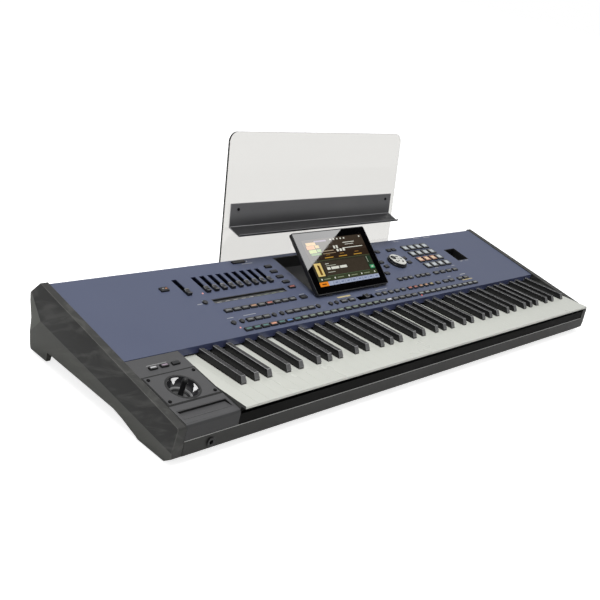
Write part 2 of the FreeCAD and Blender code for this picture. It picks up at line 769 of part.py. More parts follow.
# Keys: one master for each outline, repeated at the octave.
def key_arm(body, centre):
    pad(body, outline(body, "XY_Plane", rectangle(centre + " - arm_wide / 2", "arm_front", "arm_wide",
                                                  "arm_rear - arm_front"),
                      "pivot_z - arm_deep / 2"), "arm_deep")
    pocket(body, hoop(body, "YZ_Plane", ("pivot_depth", "pivot_z"), "bore_r", "2 * white_pitch"),
           "4 * white_pitch")
    move(body, "key_left", "front_y")


def white_master(name, left, right):
    body = new_body(name)
    near_side, far_side = "white_gap / 2", "white_pitch - white_gap / 2"
    shoulder = "black_front - notch_gap"
    points = [(near_side, "0"), (far_side, "0")]
    points += [(far_side, shoulder), (right, shoulder), (right, "white_long")] if right else [
        (far_side, "white_long")]
    points += [(left, "white_long"), (left, shoulder), (near_side, shoulder)] if left else [
        (near_side, "white_long")]
    pad(body, outline(body, "XY_Plane", points, "key_top - white_deep"), "white_deep")
    pocket(body, outline(body, "YZ_Plane", rectangle("-overrun", "key_top - white_deep - overrun",
                                                     "lip_deep + overrun",
                                                     "white_deep + overrun - lip_thick"),
                         "white_pitch + overrun"), "white_pitch + 2 * overrun")
    key_arm(body, "((%s) + (%s)) / 2" % (left or near_side, right or far_side))
    return body


def black_master(name):
    body = new_body(name)
    low, foot, high = "pivot_z", "key_top + black_toe", "key_top + black_rise"
    pad(body, outline(body, "XZ_Plane", [
        ("-black_wide / 2", low), ("black_wide / 2", low), ("black_wide / 2", foot),
        ("black_crown / 2", high), ("-black_crown / 2", high), ("-black_wide / 2", foot)], "-black_rear"),
        "black_rear - black_front")
    pocket(body, outline(body, "YZ_Plane", [
        ("black_front - overrun", foot), ("black_front", foot), ("black_front + black_slope", high),
        ("black_front + black_slope", high + " + overrun"), ("black_front - overrun", high + " + overrun")],
        "black_wide"), "2 * black_wide")
    key_arm(body, "0")
    return body


after, before = "%s + notch_half - %d * white_pitch", "%s - notch_half - %d * white_pitch"
WHITE = {
    "c": (None, before % ("black_c", 0)),
    "d": (after % ("black_c", 1), before % ("black_d", 1)),
    "e": (after % ("black_d", 2), None),
    "f": (None, before % ("black_f", 0)),
    "g": (after % ("black_f", 1), before % ("black_g", 1)),
    "a": (after % ("black_g", 2), before % ("black_a", 2)),
    "b": (after % ("black_a", 3), None),
}
BLACK = {"c": "c", "d": "c", "f": "f", "g": "f", "a": "f"}
masters = {}
for note, (left, right) in WHITE.items():
    masters[note] = white_master("white_master_" + note, left, right)
masters["first"] = white_master("white_master_first", None, None)
masters["last"] = white_master("white_master_last", WHITE["g"][0], None)
masters["black"] = black_master("black_master")
doc.recompute()


def repeat(name, copies):
    """Node made of copies of a master, each moved along the keyboard."""
    item = doc.addObject("Part::Feature", name)
    shapes = []
    for master, shift in copies:
        shape = master.Shape.copy()
        shape.translate(Vector(shift, 0, 0))
        shapes.append(shape)
    item.Shape = Part.makeCompound(shapes)
    return item


pitch = num("white_pitch")
outer = {0: "first", KEYS - 1: "last"}
for note in WHITE:
    spots = range(ORDER.index(note), KEYS, len(ORDER))
    repeat("white_keys_" + note, [(masters[outer.get(i, note)], i * pitch) for i in spots])
for note, start in BLACK.items():
    back = ORDER.index(note) - ORDER.index(start)
    spots = range(ORDER.index(note), KEYS - 1, len(ORDER))
    offset = num("black_" + note) - back * pitch
    repeat("black_keys_" + note, [(masters["black"], i * pitch + offset) for i in spots])

# Joystick block: hollow cover with a round front edge.
block = new_body("block_form")
move(block, "0", "front_y")
block_top = "block_front_z + block_tan * (%s - block_front)"
block_pad = pad(block, outline(block, "YZ_Plane", [
    ("block_face", "rail_z + fit_gap"), ("block_face", "block_face_z"), ("block_rear", "block_rear_z"),
    ("block_rear", "rail_z + fit_gap")], "block_left"), "block_wide")
brow = edges_at(block_pad, lambda a, b: near(a.y, num("block_face")) and near(b.y, num("block_face"))
                and near(a.z, num("block_face_z")) and near(b.z, num("block_face_z")))
dress(block, "Fillet", block_pad, brow, "Radius", "block_nose")
pocket(block, outline(block, "YZ_Plane", [
    ("block_face + block_wall", "rail_z - overrun"),
    ("block_face + block_wall", "block_face_z - block_nose"),
    ("block_face + block_nose", block_top % "block_face + block_nose" + " - block_wall"),
    ("block_rear - block_wall", block_top % "block_rear - block_wall" + " - block_wall"),
    ("block_rear - block_wall", "rail_z - overrun")], "block_right - block_wall"),
       "block_wide - 2 * block_wall")
PLATE_SCREWS = [("block_left + plate_left + " + a, "plate_front + " + b)
                for a in ("screw_in", "plate_wide - screw_in") for b in ("screw_in", "plate_long - screw_in")]
ASSIGN = [("block_left + assign_left + %d * assign_pitch" % i, "assign_v") for i in range(3)]


def hole_box(name, centre, wide, long, gap, low, high):
    u, v = centre
    return box(name, (u + " - (%s) / 2 - %s" % (wide, gap), v + " - (%s) / 2 - %s" % (long, gap), low),
               (wide + " + 2 * " + gap, long + " + 2 * " + gap, "(%s) - (%s)" % (high, low)))


block_cuts = [
    box("plate_seat", ("block_left + plate_left - fit_gap", "plate_front - fit_gap",
                       "plate_proud - plate_thick"),
        ("plate_wide + 2 * fit_gap", "plate_long + 2 * fit_gap", "plate_thick + overrun")),
    rod("cup_bore", ("stick_cx", "stick_v", "-skirt_low"), "cup_r + cup_wall + cup_rim",
        "skirt_low + overrun"),
    box("ribbon_bay", ("block_left + ribbon_left - fit_gap", "ribbon_front - fit_gap",
                       "-ribbon_deep - overrun"),
        ("ribbon_wide + 2 * fit_gap", "ribbon_long + 2 * fit_gap", "ribbon_deep + 2 * overrun"))]
block_cuts += [rod("plate_hole", (u, v, "-screw_long - overrun"), "hole_r", "screw_long + overrun")
               for u, v in PLATE_SCREWS]
block_cuts += [hole_box("assign_hole", c, "assign_wide", "assign_long", "cap_gap", "-cap_down - overrun",
                        "cap_up + overrun") for c in ASSIGN]
cut("joystick_block", block, tilt(group("block_cuts", block_cuts), BLOCK))
tilt(group("assign_buttons", [hole_box("assign_cap", c, "assign_wide", "assign_long", "0",
                                       "-cap_down", "cap_up") for c in ASSIGN]), BLOCK)

# Plate, bowl, gimbal ring and stick of the joystick.
tilt(cut("joystick_plate",
         box("plate_form", ("block_left + plate_left", "plate_front", "plate_proud - plate_thick"),
             ("plate_wide", "plate_long", "plate_thick")),
         [rod("plate_bore", ("stick_cx", "stick_v", "-plate_thick - overrun"), "cup_r + cup_wall + fit_gap",
              "plate_thick + 2 * overrun")]
         + [rod("plate_screw_hole", (u, v, "-plate_thick - overrun"), "hole_r", "plate_thick + 2 * overrun")
            for u, v in PLATE_SCREWS]), BLOCK)
bowl_out = ball("bowl_out", ("0", "0", "plate_proud"), "cup_r + cup_wall")
bowl_rim = rod("bowl_rim", ("0", "0", "plate_proud"), "cup_r + cup_wall + cup_rim", "cup_rim_thick")
skirt = rod("skirt_form", ("0", "0", "-skirt_low"), "skirt_r + skirt_wall", "skirt_low - skirt_top")
cup_tools = [
    ball("bowl_in", ("0", "0", "plate_proud"), "cup_r"),
    rod("bowl_mouth", ("0", "0", "plate_proud"), "cup_r", "cup_r"),
    rod("bowl_hole", ("0", "0", "-skirt_low - overrun"), "cup_hole_r", "skirt_low"),
    rod("skirt_bore", ("0", "0", "-skirt_low - overrun"), "skirt_r",
        "skirt_low + overrun - cup_r + cup_rim"),
    rod("ring_bore", ("-skirt_r - skirt_wall - overrun", "0", "-ball_drop"), "pin_r + fit_gap",
        "2 * (skirt_r + skirt_wall + overrun)", "x"),
    box("bowl_above", ("-2 * cup_r", "-2 * cup_r", "plate_proud + cup_rim_thick"),
        ("4 * cup_r", "4 * cup_r", "2 * cup_r"))]
tilt(cut("joystick_cup", fuse("cup_form", [bowl_out, bowl_rim, skirt]), cup_tools), STICK)
ring = fuse("ring_form", [
    rod("ring_disc", ("0", "0", "-ball_drop - ring_thick / 2"), "ring_out", "ring_thick"),
    rod("ring_pin", ("-skirt_r - skirt_wall", "0", "-ball_drop"), "pin_r",
        "2 * (skirt_r + skirt_wall)", "x")])
tilt(cut("joystick_ring", ring, [
    rod("ring_hole", ("0", "0", "-ball_drop - ring_thick"), "ring_in", "2 * ring_thick"),
    rod("stick_bore", ("0", "-ring_out - overrun", "-ball_drop"), "pin_r + fit_gap",
        "2 * (ring_out + overrun)", "y")]), STICK)
tilt(fuse("joystick_stick", [
    ball("stick_ball", ("0", "0", "-ball_drop"), "ball_r"),
    rod("stick_pin", ("0", "-ring_out", "-ball_drop"), "pin_r", "2 * ring_out", "y"),
    rod("stick_shaft", ("0", "0", "-ball_drop"), "stick_r", "ball_drop + stick_up - stick_tip_r"),
    rod("stick_grip", ("0", "0", "stick_up - stick_tip_long"), "stick_tip_r", "stick_tip_long - stick_tip_r"),
    ball("stick_tip", ("0", "0", "stick_up - stick_tip_r"), "stick_tip_r")]), STICK)


def sloping_bed(name, left, front, rear, wide, shallow, floor):
    """Cut whose floor falls from a shallow front to a deep rear."""
    body = new_body(name)
    pad(body, outline(body, "YZ_Plane", [(front, "-" + shallow), (rear, floor), (rear, "overrun"),
                                         (front, "overrun")], left), wide)
    return body


tilt(cut("ribbon_strip",
         box("ribbon_form", ("block_left + ribbon_left", "ribbon_front", "-ribbon_deep"),
             ("ribbon_wide", "ribbon_long", "ribbon_deep")),
         [sloping_bed("ribbon_bed", "block_left + ribbon_left + ribbon_wall", "ribbon_front + ribbon_wall",
                      "ribbon_front + ribbon_long - ribbon_wall", "ribbon_wide - 2 * ribbon_wall",
                      "ribbon_shallow", "ribbon_floor - ribbon_deep")]), BLOCK)

# Button rows on the control panel: centre, width, length, or a round cap.
RECT, SMALL, PAD = ("cap_wide", "cap_long"), ("cap_small", "cap_long"), ("pad_wide", "pad_long")
ROUND = ("cap_round_r", None)


def line(start, step, count, v, size):
    return [(start + " + %d * %s" % (i, step), v, size) for i in range(count)]


mode_round = (0, 1, 5, 6, 11)
BANKS = {
    "colour_buttons": line("colour_left_u", "colour_left_pitch", 12, "row_one_v", RECT)
    + line("colour_mid_u", "colour_mid_pitch", 12, "row_one_v", RECT)
    + line("colour_right_u", "colour_right_pitch", 11, "row_one_v", RECT),
    "mode_buttons": [("mode_u + %d * mode_pitch" % i, "row_two_v", ROUND if i in mode_round else RECT)
                     for i in range(12)],
    "bank_buttons": line("bank_u", "bank_pitch", 9, "row_three_v", RECT)
    + [("extra_u", "row_three_v", RECT), ("round_u", "row_strip_v", ROUND),
       ("single_u", "single_v", ("cap_wide", "single_long"))],
    "side_buttons": [("side_u", "side_v + %d * side_pitch" % i, ("cap_wide", "side_long")) for i in range(5)],
    "style_buttons": line("song_u", "song_pitch", 2, "row_two_v", ROUND)
    + line("tempo_u", "tempo_pitch", 2, "row_two_v", RECT)
    + line("voice_u", "voice_pitch", 5, "row_two_v", SMALL)
    + line("style_u", "style_pitch", 5, "row_two_v", SMALL) + [("fill_u", "row_two_v", SMALL)]
    + line("intro_u", "intro_pitch", 2, "row_two_v", RECT)
    + line("start_u", "intro_pitch", 2, "row_two_v", RECT)
    + line("part_u", "part_pitch", 3, "row_three_v", SMALL)
    + line("split_u", "split_pitch", 3, "row_three_v", SMALL)
    + line("track_u", "track_pitch", 4, "row_three_v", RECT),
    "dial_buttons": [("page_u", "page_v", SMALL)] + line("shift_u", "shift_pitch", 2, "page_v", SMALL)
    + [("enter_u", "enter_v + %d * enter_pitch" % i, SMALL) for i in range(2)]
    + [("cursor_u", "cursor_v + %d * enter_pitch" % i, SMALL) for i in range(2)]
    + [("menu_u", "menu_v", SMALL)],
    "pad_buttons": [("pad_u + %d * pad_pitch" % (i % 4), "pad_v + %d * pad_row" % (i // 4), PAD)
                    for i in range(16)],
    "standby_button": [("standby_u", "standby_v", ("standby_wide", "standby_long"))],
}
panel_cuts = []
for bank, caps in BANKS.items():
    solids = []
    for u, v, (wide, long) in caps:
        if long is None:
            solids.append(rod(bank + "_cap", (u, v, "-cap_down"), wide, "cap_down + cap_up"))
            panel_cuts.append(rod(bank + "_hole", (u, v, "-cap_down"), wide + " + cap_gap", "2 * cap_down"))
        else:
            solids.append(hole_box(bank + "_cap", (u, v), wide, long, "0", "-cap_down", "cap_up"))
            panel_cuts.append(hole_box(bank + "_hole", (u, v), wide, long, "cap_gap", "-cap_down",
                                       "cap_down"))
    tilt(group(bank, solids), PANEL)


# Sliders: a shaped cap on a flat stem, in a slot with room to travel.
def slider(name, u, v, across):
    wide, long = ("knob_long", "knob_wide") if across else ("knob_wide", "knob_long")
    stem_w, stem_l = ("stem_long", "stem_wide") if across else ("stem_wide", "stem_long")
    cap = hole_box(name + "_cap", (u, v), wide, long, "0", "-knob_down", "knob_up")
    stem = hole_box(name + "_stem", (u, v), stem_w, stem_l, "0", "-stem_down", "0")
    dip_r = "((knob_long / 2 - knob_dip) * (knob_long / 2 - knob_dip) / knob_dip + knob_dip) / 2"
    if across:
        dip = rod(name + "_dip", (u, v + " - knob_wide", "knob_up - knob_dip + " + dip_r), dip_r,
                  "2 * knob_wide", "y")
    else:
        dip = rod(name + "_dip", (u + " - knob_wide", v, "knob_up - knob_dip + " + dip_r), dip_r,
                  "2 * knob_wide", "x")
    tilt(cut(name, fuse(name + "_form", [cap, stem]), [dip]), PANEL)


slot_rest = "slot_v + knob_start + knob_long / 2"
for i in range(9):
    place = "bank_slot_u + %d * bank_slot_pitch" % i
    slider("slider_%d" % (i + 1), place, slot_rest, False)
    panel_cuts.append(box("slot", (place + " - slot_wide / 2", "slot_v", "-knob_up"),
                          ("slot_wide", "slot_long", "2 * knob_up")))
slider("master_slider", "master_slot_u", slot_rest, False)
panel_cuts.append(box("slot", ("master_slot_u - slot_wide / 2", "slot_v", "-knob_up"),
                      ("slot_wide", "slot_long", "2 * knob_up")))
slider("cross_slider", "cross_u", "row_two_v", True)
panel_cuts.append(box("slot", ("cross_u - cross_long / 2", "row_two_v - slot_wide / 2", "-knob_up"),
                      ("cross_long", "slot_wide", "2 * knob_up")))

# Value dial: skirt, wheel and shaft turned in one piece.
dial = new_body("dial_form")
turned(dial, [("0", "-shaft_down"), ("shaft_r", "-shaft_down"), ("shaft_r", "dial_lift"),
              ("dial_skirt_r", "dial_lift"), ("dial_skirt_r", "dial_skirt_up"), ("dial_r", "dial_skirt_up"),
              ("dial_r", "dial_up - dial_edge"), ("dial_r - dial_edge", "dial_up"), ("0", "dial_up")])
DIAL = ("dial_u", "front_y + panel_front + dial_v * cos(panel_slope * 1deg)",
        "panel_front_z + dial_v * sin(panel_slope * 1deg)", "panel_slope")
tilt(cut("value_dial", dial, [ball("dial_dip", (
    "dial_dip_out * cos(dial_dip_turn * 1deg)", "dial_dip_out * sin(dial_dip_turn * 1deg)",
    "dial_up + dial_dip_r - dial_dip_deep"), "dial_dip_r")]), DIAL)
panel_cuts.append(rod("dial_hole", ("dial_u", "dial_v", "-shaft_down"), "shaft_r + fit_gap",
                      "2 * shaft_down"))

# Recessed strip window and the well for a memory stick.
tilt(cut("strip_window",
         box("strip_form", ("strip_u", "row_strip_v - strip_long / 2", "-strip_deep"),
             ("strip_wide", "strip_long", "strip_deep")),
         [sloping_bed("strip_bed", "strip_u + strip_wall", "row_strip_v - strip_long / 2 + strip_wall",
                      "row_strip_v + strip_long / 2 - strip_wall", "strip_wide - 2 * strip_wall",
                      "strip_shallow", "strip_floor - strip_deep")]), PANEL)
panel_cuts.append(box("strip_bay", ("strip_u - fit_gap", "row_strip_v - strip_long / 2 - fit_gap",
                                    "-strip_deep"),
                      ("strip_wide + 2 * fit_gap", "strip_long + 2 * fit_gap", "2 * strip_deep")))
usb_form = fuse("usb_form", [
    box("usb_tub", ("usb_u", "usb_v", "-usb_deep"), ("usb_wide", "usb_long", "usb_deep")),
    box("usb_case", ("usb_u + usb_wide / 2 - usb_slot_wide", "usb_v + usb_long - usb_wall", "-usb_deep"),
        ("2 * usb_slot_wide", "usb_block", "usb_slot_up + usb_slot_high + 2 * usb_wall"))])
tilt(cut("usb_well", usb_form, [
    box("usb_room", ("usb_u + usb_wall", "usb_v + usb_wall", "usb_wall - usb_deep"),
        ("usb_wide - 2 * usb_wall", "usb_long - 2 * usb_wall", "usb_deep")),
    box("usb_slot", ("usb_u + usb_wide / 2 - usb_slot_wide / 2", "usb_v + usb_long - usb_wall - overrun",
                     "usb_wall - usb_deep + usb_slot_up"),
        ("usb_slot_wide", "usb_slot_deep + overrun", "usb_slot_high"))]), PANEL)
panel_cuts.append(box("usb_bay", ("usb_u - fit_gap", "usb_v - fit_gap", "-usb_wall - overrun"),
                      ("usb_wide + 2 * fit_gap", "usb_long + 2 * fit_gap", "usb_deep")))

# Display well with its hinge ears and pins.
well_left = "screen_x - well_wide / 2"
ear_at = "knuckle_x * %d + (knuckle_half + fit_gap + ear_thick / 2) * %d - ear_thick / 2"
EARS = [ear_at % (side, turn) for side in (-1, 1) for turn in (-1, 1)]
well_tub = box("well_tub", (well_left + " + fit_gap", "well_v + fit_gap", "-well_deep"),
               ("well_wide - 2 * fit_gap", "well_long - 2 * fit_gap", "well_deep"))
well_room = box("well_room", (well_left + " + fit_gap + well_wall", "well_v + fit_gap + well_wall",
                              "well_wall - well_deep"),
                ("well_wide - 2 * fit_gap - 2 * well_wall", "well_long - 2 * fit_gap - 2 * well_wall",
                 "well_deep"))
well_parts = [cut("well_open", well_tub, well_room)]
for start in EARS:
    well_parts.append(rod("ear_round", ("screen_x + " + start, "hinge_v", "hinge_w"), "knuckle_r",
                          "ear_thick", "x"))
    well_parts.append(box("ear_arm", ("screen_x + " + start, "hinge_v - knuckle_r", "-ear_low"),
                          ("ear_thick", "well_v + fit_gap + well_wall - hinge_v + knuckle_r", "ear_low")))
for side in (-1, 1):
    start = "screen_x + knuckle_x * %d - knuckle_half - fit_gap - ear_thick / 2" % side
    well_parts.append(rod("ear_pin", (start, "hinge_v", "hinge_w"), "hinge_pin_r",
                          "2 * knuckle_half + 2 * fit_gap + ear_thick", "x"))
tilt(fuse("display_well", well_parts), PANEL)
panel_cuts.append(box("well_bay", (well_left, "well_v", "-well_deep"),
                      ("well_wide", "well_long", "2 * well_deep")))
for side in (-1, 1):
    half = "(knuckle_half + 2 * fit_gap + ear_thick)"
    start = "screen_x + knuckle_x * %d - " % side + half
    panel_cuts.append(box("hinge_bay", (start, "hinge_v - knuckle_r - fit_gap", "-well_deep"),
                          ("2 * " + half, "well_v - hinge_v + knuckle_r + 2 * fit_gap", "2 * well_deep")))

# Tilting display: bezel with round corners, rear shell and hinge knuckles.
screen = new_body("screen_form")
tilt(screen, SCREEN)
bezel = pad(screen, outline(screen, "XY_Plane", rectangle("-screen_wide / 2", "0", "screen_wide",
                                                          "screen_high")), "bezel_thick")
corners = edges_at(bezel, lambda a, b: near(a.x, b.x) and near((a - b).Length, num("bezel_thick")))
dress(screen, "Fillet", bezel, corners, "Radius", "bezel_corner")
pad(screen, outline(screen, "XY_Plane", rectangle("-shell_wide / 2", "shell_low", "shell_wide",
                                                  "shell_top - shell_low"), "-shell_deep"), "shell_deep")
pocket(screen, outline(screen, "XY_Plane", rectangle("-screen_wide / 2 + glass_in", "glass_in",
                                                     "screen_wide - 2 * glass_in",
                                                     "screen_high - 2 * glass_in"),
                       "bezel_thick"), "glass_thick")
knuckles = []
knuckle_cuts = []
for side in (-1, 1):
    knuckles.append(rod("knuckle", ("knuckle_x * %d - knuckle_half" % side, "0", "0"), "knuckle_r",
                        "2 * knuckle_half", "x"))
    knuckle_cuts.append(rod("knuckle_bore", ("knuckle_x * %d - 2 * knuckle_half" % side, "0", "0"),
                            "hinge_pin_r + fit_gap", "4 * knuckle_half", "x"))
for start in EARS:
    knuckle_cuts.append(rod("ear_room", (start + " - fit_gap", "0", "0"), "knuckle_r + fit_gap",
                            "ear_thick + 2 * fit_gap", "x"))
knuckle_set = tilt(group("knuckle_set", knuckles), SCREEN)
cut("display_housing", fuse("screen_whole", [screen, knuckle_set]),
    tilt(group("knuckle_cuts", knuckle_cuts), SCREEN))
glass = new_body("display_glass")
tilt(glass, SCREEN)
pad(glass, outline(glass, "XY_Plane", rectangle("-screen_wide / 2 + glass_in + glass_gap",
                                                "glass_in + glass_gap",
                                                "screen_wide - 2 * glass_in - 2 * glass_gap",
                                                "screen_high - 2 * glass_in - 2 * glass_gap"),
                   "bezel_thick - glass_thick"), "glass_thick")

# Control panel: bent sheet with every hole, slot and bay.
panel = new_body("panel_form")
move(panel, "0", "front_y")
pad(panel, outline(panel, "YZ_Plane", [
    ("panel_front", "panel_front_z - panel_lip"), ("panel_front", "panel_front_z"),
    ("panel_rear", "panel_rear_z"), ("panel_rear", "panel_skirt_z"), ("panel_rear - sheet", "panel_skirt_z"),
    ("panel_rear - sheet", "panel_rear_z - panel_tan * sheet - panel_drop"),
    ("panel_front + sheet", "panel_front_z + panel_tan * sheet - panel_drop"),
    ("panel_front + sheet", "panel_front_z - panel_lip")], "-side_half"), "2 * side_half")
cut("top_panel", panel, tilt(group("panel_cuts", panel_cuts), PANEL))

# Music stand: clear plate, shelf with an upturned lip, and two brackets on the panel's rear fold.
stand = new_body("stand_form")
tilt(stand, STAND)
stand_pad = pad(stand, outline(stand, "XY_Plane", rectangle("-stand_wide / 2", "-stand_drop", "stand_wide",
                                                            "stand_rise + stand_drop"), "-stand_thick"),
                "stand_thick")
tops = edges_at(stand_pad, lambda a, b: near(a.x, b.x) and near((a - b).Length, num("stand_thick")))
dress(stand, "Fillet", stand_pad, tops, "Radius", "stand_corner")
LEDGE_SCREWS = ["(ledge_wide / 2 - ledge_screw_in) * %d" % s for s in (-1, 1)]
cut("music_stand_plate", stand, tilt(group("stand_holes", [
    rod("stand_hole", (x, "ledge_screw_v", "-stand_thick - overrun"), "hole_r", "stand_thick + 2 * overrun")
    for x in LEDGE_SCREWS]), STAND))
ledge = new_body("ledge_form")
tilt(ledge, STAND)
pad(ledge, outline(ledge, "YZ_Plane", [
    ("ledge_high", "0"), ("ledge_low", "0"), ("ledge_low - ledge_fall", "ledge_out"),
    ("ledge_low - ledge_fall + ledge_lip", "ledge_out + ledge_lip / 2"),
    ("ledge_low - ledge_fall + ledge_lip", "ledge_out + ledge_lip / 2 - ledge_sheet"),
    ("ledge_low - ledge_fall + ledge_sheet", "ledge_out - ledge_sheet"),
    ("ledge_low + ledge_sheet", "ledge_sheet"), ("ledge_high", "ledge_sheet")], "-ledge_wide / 2"),
    "ledge_wide")
cut("music_stand_ledge", ledge, tilt(group("ledge_holes", [
    rod("ledge_hole", (x, "ledge_screw_v", "-overrun"), "hole_r", "ledge_sheet + 2 * overrun")
    for x in LEDGE_SCREWS]), STAND))
face_at = "stand_front + (%s - stand_z) * stand_tan"
back_at = face_at + " + stand_thick / cos(stand_lean * 1deg)"
slot_z = "stand_z - stand_drop * cos(stand_lean * 1deg)"
slot_low = slot_z + " - stand_thick * sin(stand_lean * 1deg)"
BRACKET = [
    ("panel_rear", "bracket_z"), ("panel_rear", "bracket_top"), (face_at % "bracket_top", "bracket_top"),
    (face_at % ("(" + slot_z + ")"), slot_z), (back_at % ("(" + slot_low + ")"), slot_low),
    (back_at % "bracket_top", "bracket_top"), (back_at % "bracket_top" + " + bracket_wall", "bracket_top"),
    (back_at % "bracket_z" + " + bracket_wall", "bracket_z")]
brackets = []
for side in (-1, 1):
    bracket = new_body("bracket")
    move(bracket, "0", "front_y")
    pad(bracket, outline(bracket, "YZ_Plane", BRACKET, "stand_x + bracket_x * %d - bracket_wide / 2" % side),
        "bracket_wide")
    brackets.append(bracket)
group("stand_brackets", brackets)

# Rear panel with its sockets.
JACKS = ["jack_x + %d * jack_pitch" % i for i in range(4)]
DINS = ["din_x + %d * din_pitch" % i for i in range(2)]
rear_y = "front_y + panel_rear - sheet"
rear_cuts = [rod("jack_hole", (x, rear_y + " - overrun", "jack_z"), "jack_body_r + fit_gap",
                 "sheet + 2 * overrun", "y") for x in JACKS]
rear_cuts += [rod("din_hole", (x, rear_y + " - overrun", "jack_z"), "din_r + fit_gap",
                  "sheet + 2 * overrun", "y") for x in DINS]
rear_cuts.append(box("port_hole", ("port_x - port_wide / 2 - fit_gap", rear_y + " - overrun",
                                   "jack_z - port_high / 2 - fit_gap"),
                     ("port_wide + 2 * fit_gap", "sheet + 2 * overrun", "port_high + 2 * fit_gap")))
rear_cuts.append(box("inlet_hole", ("inlet_x - inlet_body_wide / 2 - fit_gap", rear_y + " - overrun",
                                    "jack_z - inlet_body_high / 2 - fit_gap"),
                     ("inlet_body_wide + 2 * fit_gap", "sheet + 2 * overrun",
                      "inlet_body_high + 2 * fit_gap")))
cut("rear_panel", box("rear_form", ("-side_half", rear_y, "rear_foot_z"),
                      ("2 * side_half", "sheet", "rear_head_z - rear_foot_z")), rear_cuts)
sockets = []
for x in JACKS:
    barrel = fuse("jack_form", [
        rod("jack_barrel", (x, "front_y + panel_rear - jack_long + jack_nut_thick", "jack_z"), "jack_body_r",
            "jack_long", "y"),
        rod("jack_nut", (x, "front_y + panel_rear", "jack_z"), "jack_nut_r", "jack_nut_thick", "y")])
    sockets.append(cut("jack", barrel, [rod("jack_bore", (
        x, "front_y + panel_rear - jack_long + 2 * jack_nut_thick", "jack_z"), "jack_r", "jack_long", "y")]))
phones = fuse("phones_form", [
    rod("phones_barrel", ("phones_x", "front_y + rail_foot - jack_nut_thick", "phones_z"), "jack_body_r",
        "phones_long", "y"),
    rod("phones_nut", ("phones_x", "front_y + rail_foot - jack_nut_thick", "phones_z"), "jack_nut_r",
        "jack_nut_thick", "y")])
sockets.append(cut("phones", phones, [rod("phones_bore", ("phones_x", "front_y", "phones_z"), "jack_r",
                                          "phones_long", "y")]))
for x in DINS:
    sockets.append(rod("din", (x, "front_y + panel_rear - din_deep", "jack_z"), "din_r", "din_deep", "y"))
sockets.append(box("port", ("port_x - port_wide / 2", "front_y + panel_rear - port_deep",
                            "jack_z - port_high / 2"),
                   ("port_wide", "port_deep", "port_high")))
group("jack_sockets", sockets)
inlet = fuse("inlet_form", [
    box("inlet_plate", ("inlet_x - inlet_wide / 2", "front_y + panel_rear", "jack_z - inlet_high / 2"),
        ("inlet_wide", "inlet_flange", "inlet_high")),
    box("inlet_body", ("inlet_x - inlet_body_wide / 2", "front_y + panel_rear - inlet_deep",
                       "jack_z - inlet_body_high / 2"),
        ("inlet_body_wide", "inlet_deep", "inlet_body_high"))])
inlet_open = cut("inlet_open", inlet, [
    box("inlet_slot", ("inlet_x - inlet_slot_wide / 2",
                       "front_y + panel_rear + inlet_flange - inlet_slot_deep",
                       "jack_z - inlet_slot_high / 2"),
        ("inlet_slot_wide", "inlet_slot_deep + overrun", "inlet_slot_high"))])
prongs = [box("inlet_prong", ("inlet_x + %d * inlet_prong_pitch - inlet_prong_wide / 2" % i,
                              "front_y + panel_rear + inlet_flange - inlet_slot_deep - overrun",
                              "jack_z - inlet_prong_high / 2"),
              ("inlet_prong_wide", "inlet_slot_deep", "inlet_prong_high")) for i in (-1, 0, 1)]
fuse("mains_inlet", [inlet_open] + prongs)

# Screws: one pattern for the joystick plate, the stand shelf and the tray.
def screw(name, at, below):
    x, y, z = at
    head = rod(name, (x, y, z + " - head_thick" if below else z), "head_r", "head_thick")
    shank = rod(name, (x, y, z if below else z + " - screw_long"), "screw_r", "screw_long")
    return fuse(name, [head, shank])


plate_set = tilt(group("plate_screws", [screw("plate_screw", (u, v, "plate_proud"), False)
                                        for u, v in PLATE_SCREWS]), BLOCK)
ledge_set = tilt(group("ledge_screws", [screw("ledge_screw", (x, "ledge_screw_v", "ledge_sheet"), False)
                                        for x in LEDGE_SCREWS]), STAND)
base_set = group("base_screws", [screw("base_screw", (x, "front_y + " + y, "tray_z"), True)
                                 for x, y in FRAME_SCREWS + POSTS])
group("machine_screws", [plate_set, ledge_set, base_set])

# Main board on posts, with its larger components.
board_bits = [box("board_form", ("board_left", "front_y + board_front", "tray_floor + post_high"),
                  ("board_wide", "board_long", "board_thick"))]
for x, y in POSTS:
    board_bits.append(rod("board_post", (x, "front_y + " + y, "tray_floor"), "post_r", "post_high"))
deck = "tray_floor + post_high + board_thick"
board_bits.append(box("board_chip", ("board_left + board_wide / 2", "front_y + board_front + post_in", deck),
                      ("chip_wide", "chip_wide", "chip_high")))
board_bits.append(box("board_sink", ("board_left + 2 * post_in", "front_y + board_front + post_in", deck),
                      ("heat_wide", "board_long - 2 * post_in", "heat_high")))
cut("main_board", fuse("board_whole", board_bits), [
    rod("post_hole", (x, "front_y + " + y, "tray_z"), "hole_r", "screw_long + fit_gap")
    for x, y in POSTS])

NODES = ["bottom_case", "left_end_panel", "right_end_panel", "top_panel", "front_rail", "key_frame"]
NODES += ["joystick_block", "joystick_plate", "joystick_cup", "joystick_ring", "joystick_stick"]
NODES += ["ribbon_strip", "assign_buttons", "display_well", "display_housing", "display_glass"]
NODES += ["strip_window", "usb_well", "value_dial", "master_slider", "cross_slider", "music_stand_plate"]
NODES += ["music_stand_ledge", "stand_brackets", "rear_panel", "jack_sockets", "mains_inlet", "feet"]
NODES += ["machine_screws", "main_board"]
NODES += ["white_keys_" + note for note in WHITE] + ["black_keys_" + note for note in BLACK]
NODES += list(BANKS) + ["slider_%d" % (i + 1) for i in range(9)]

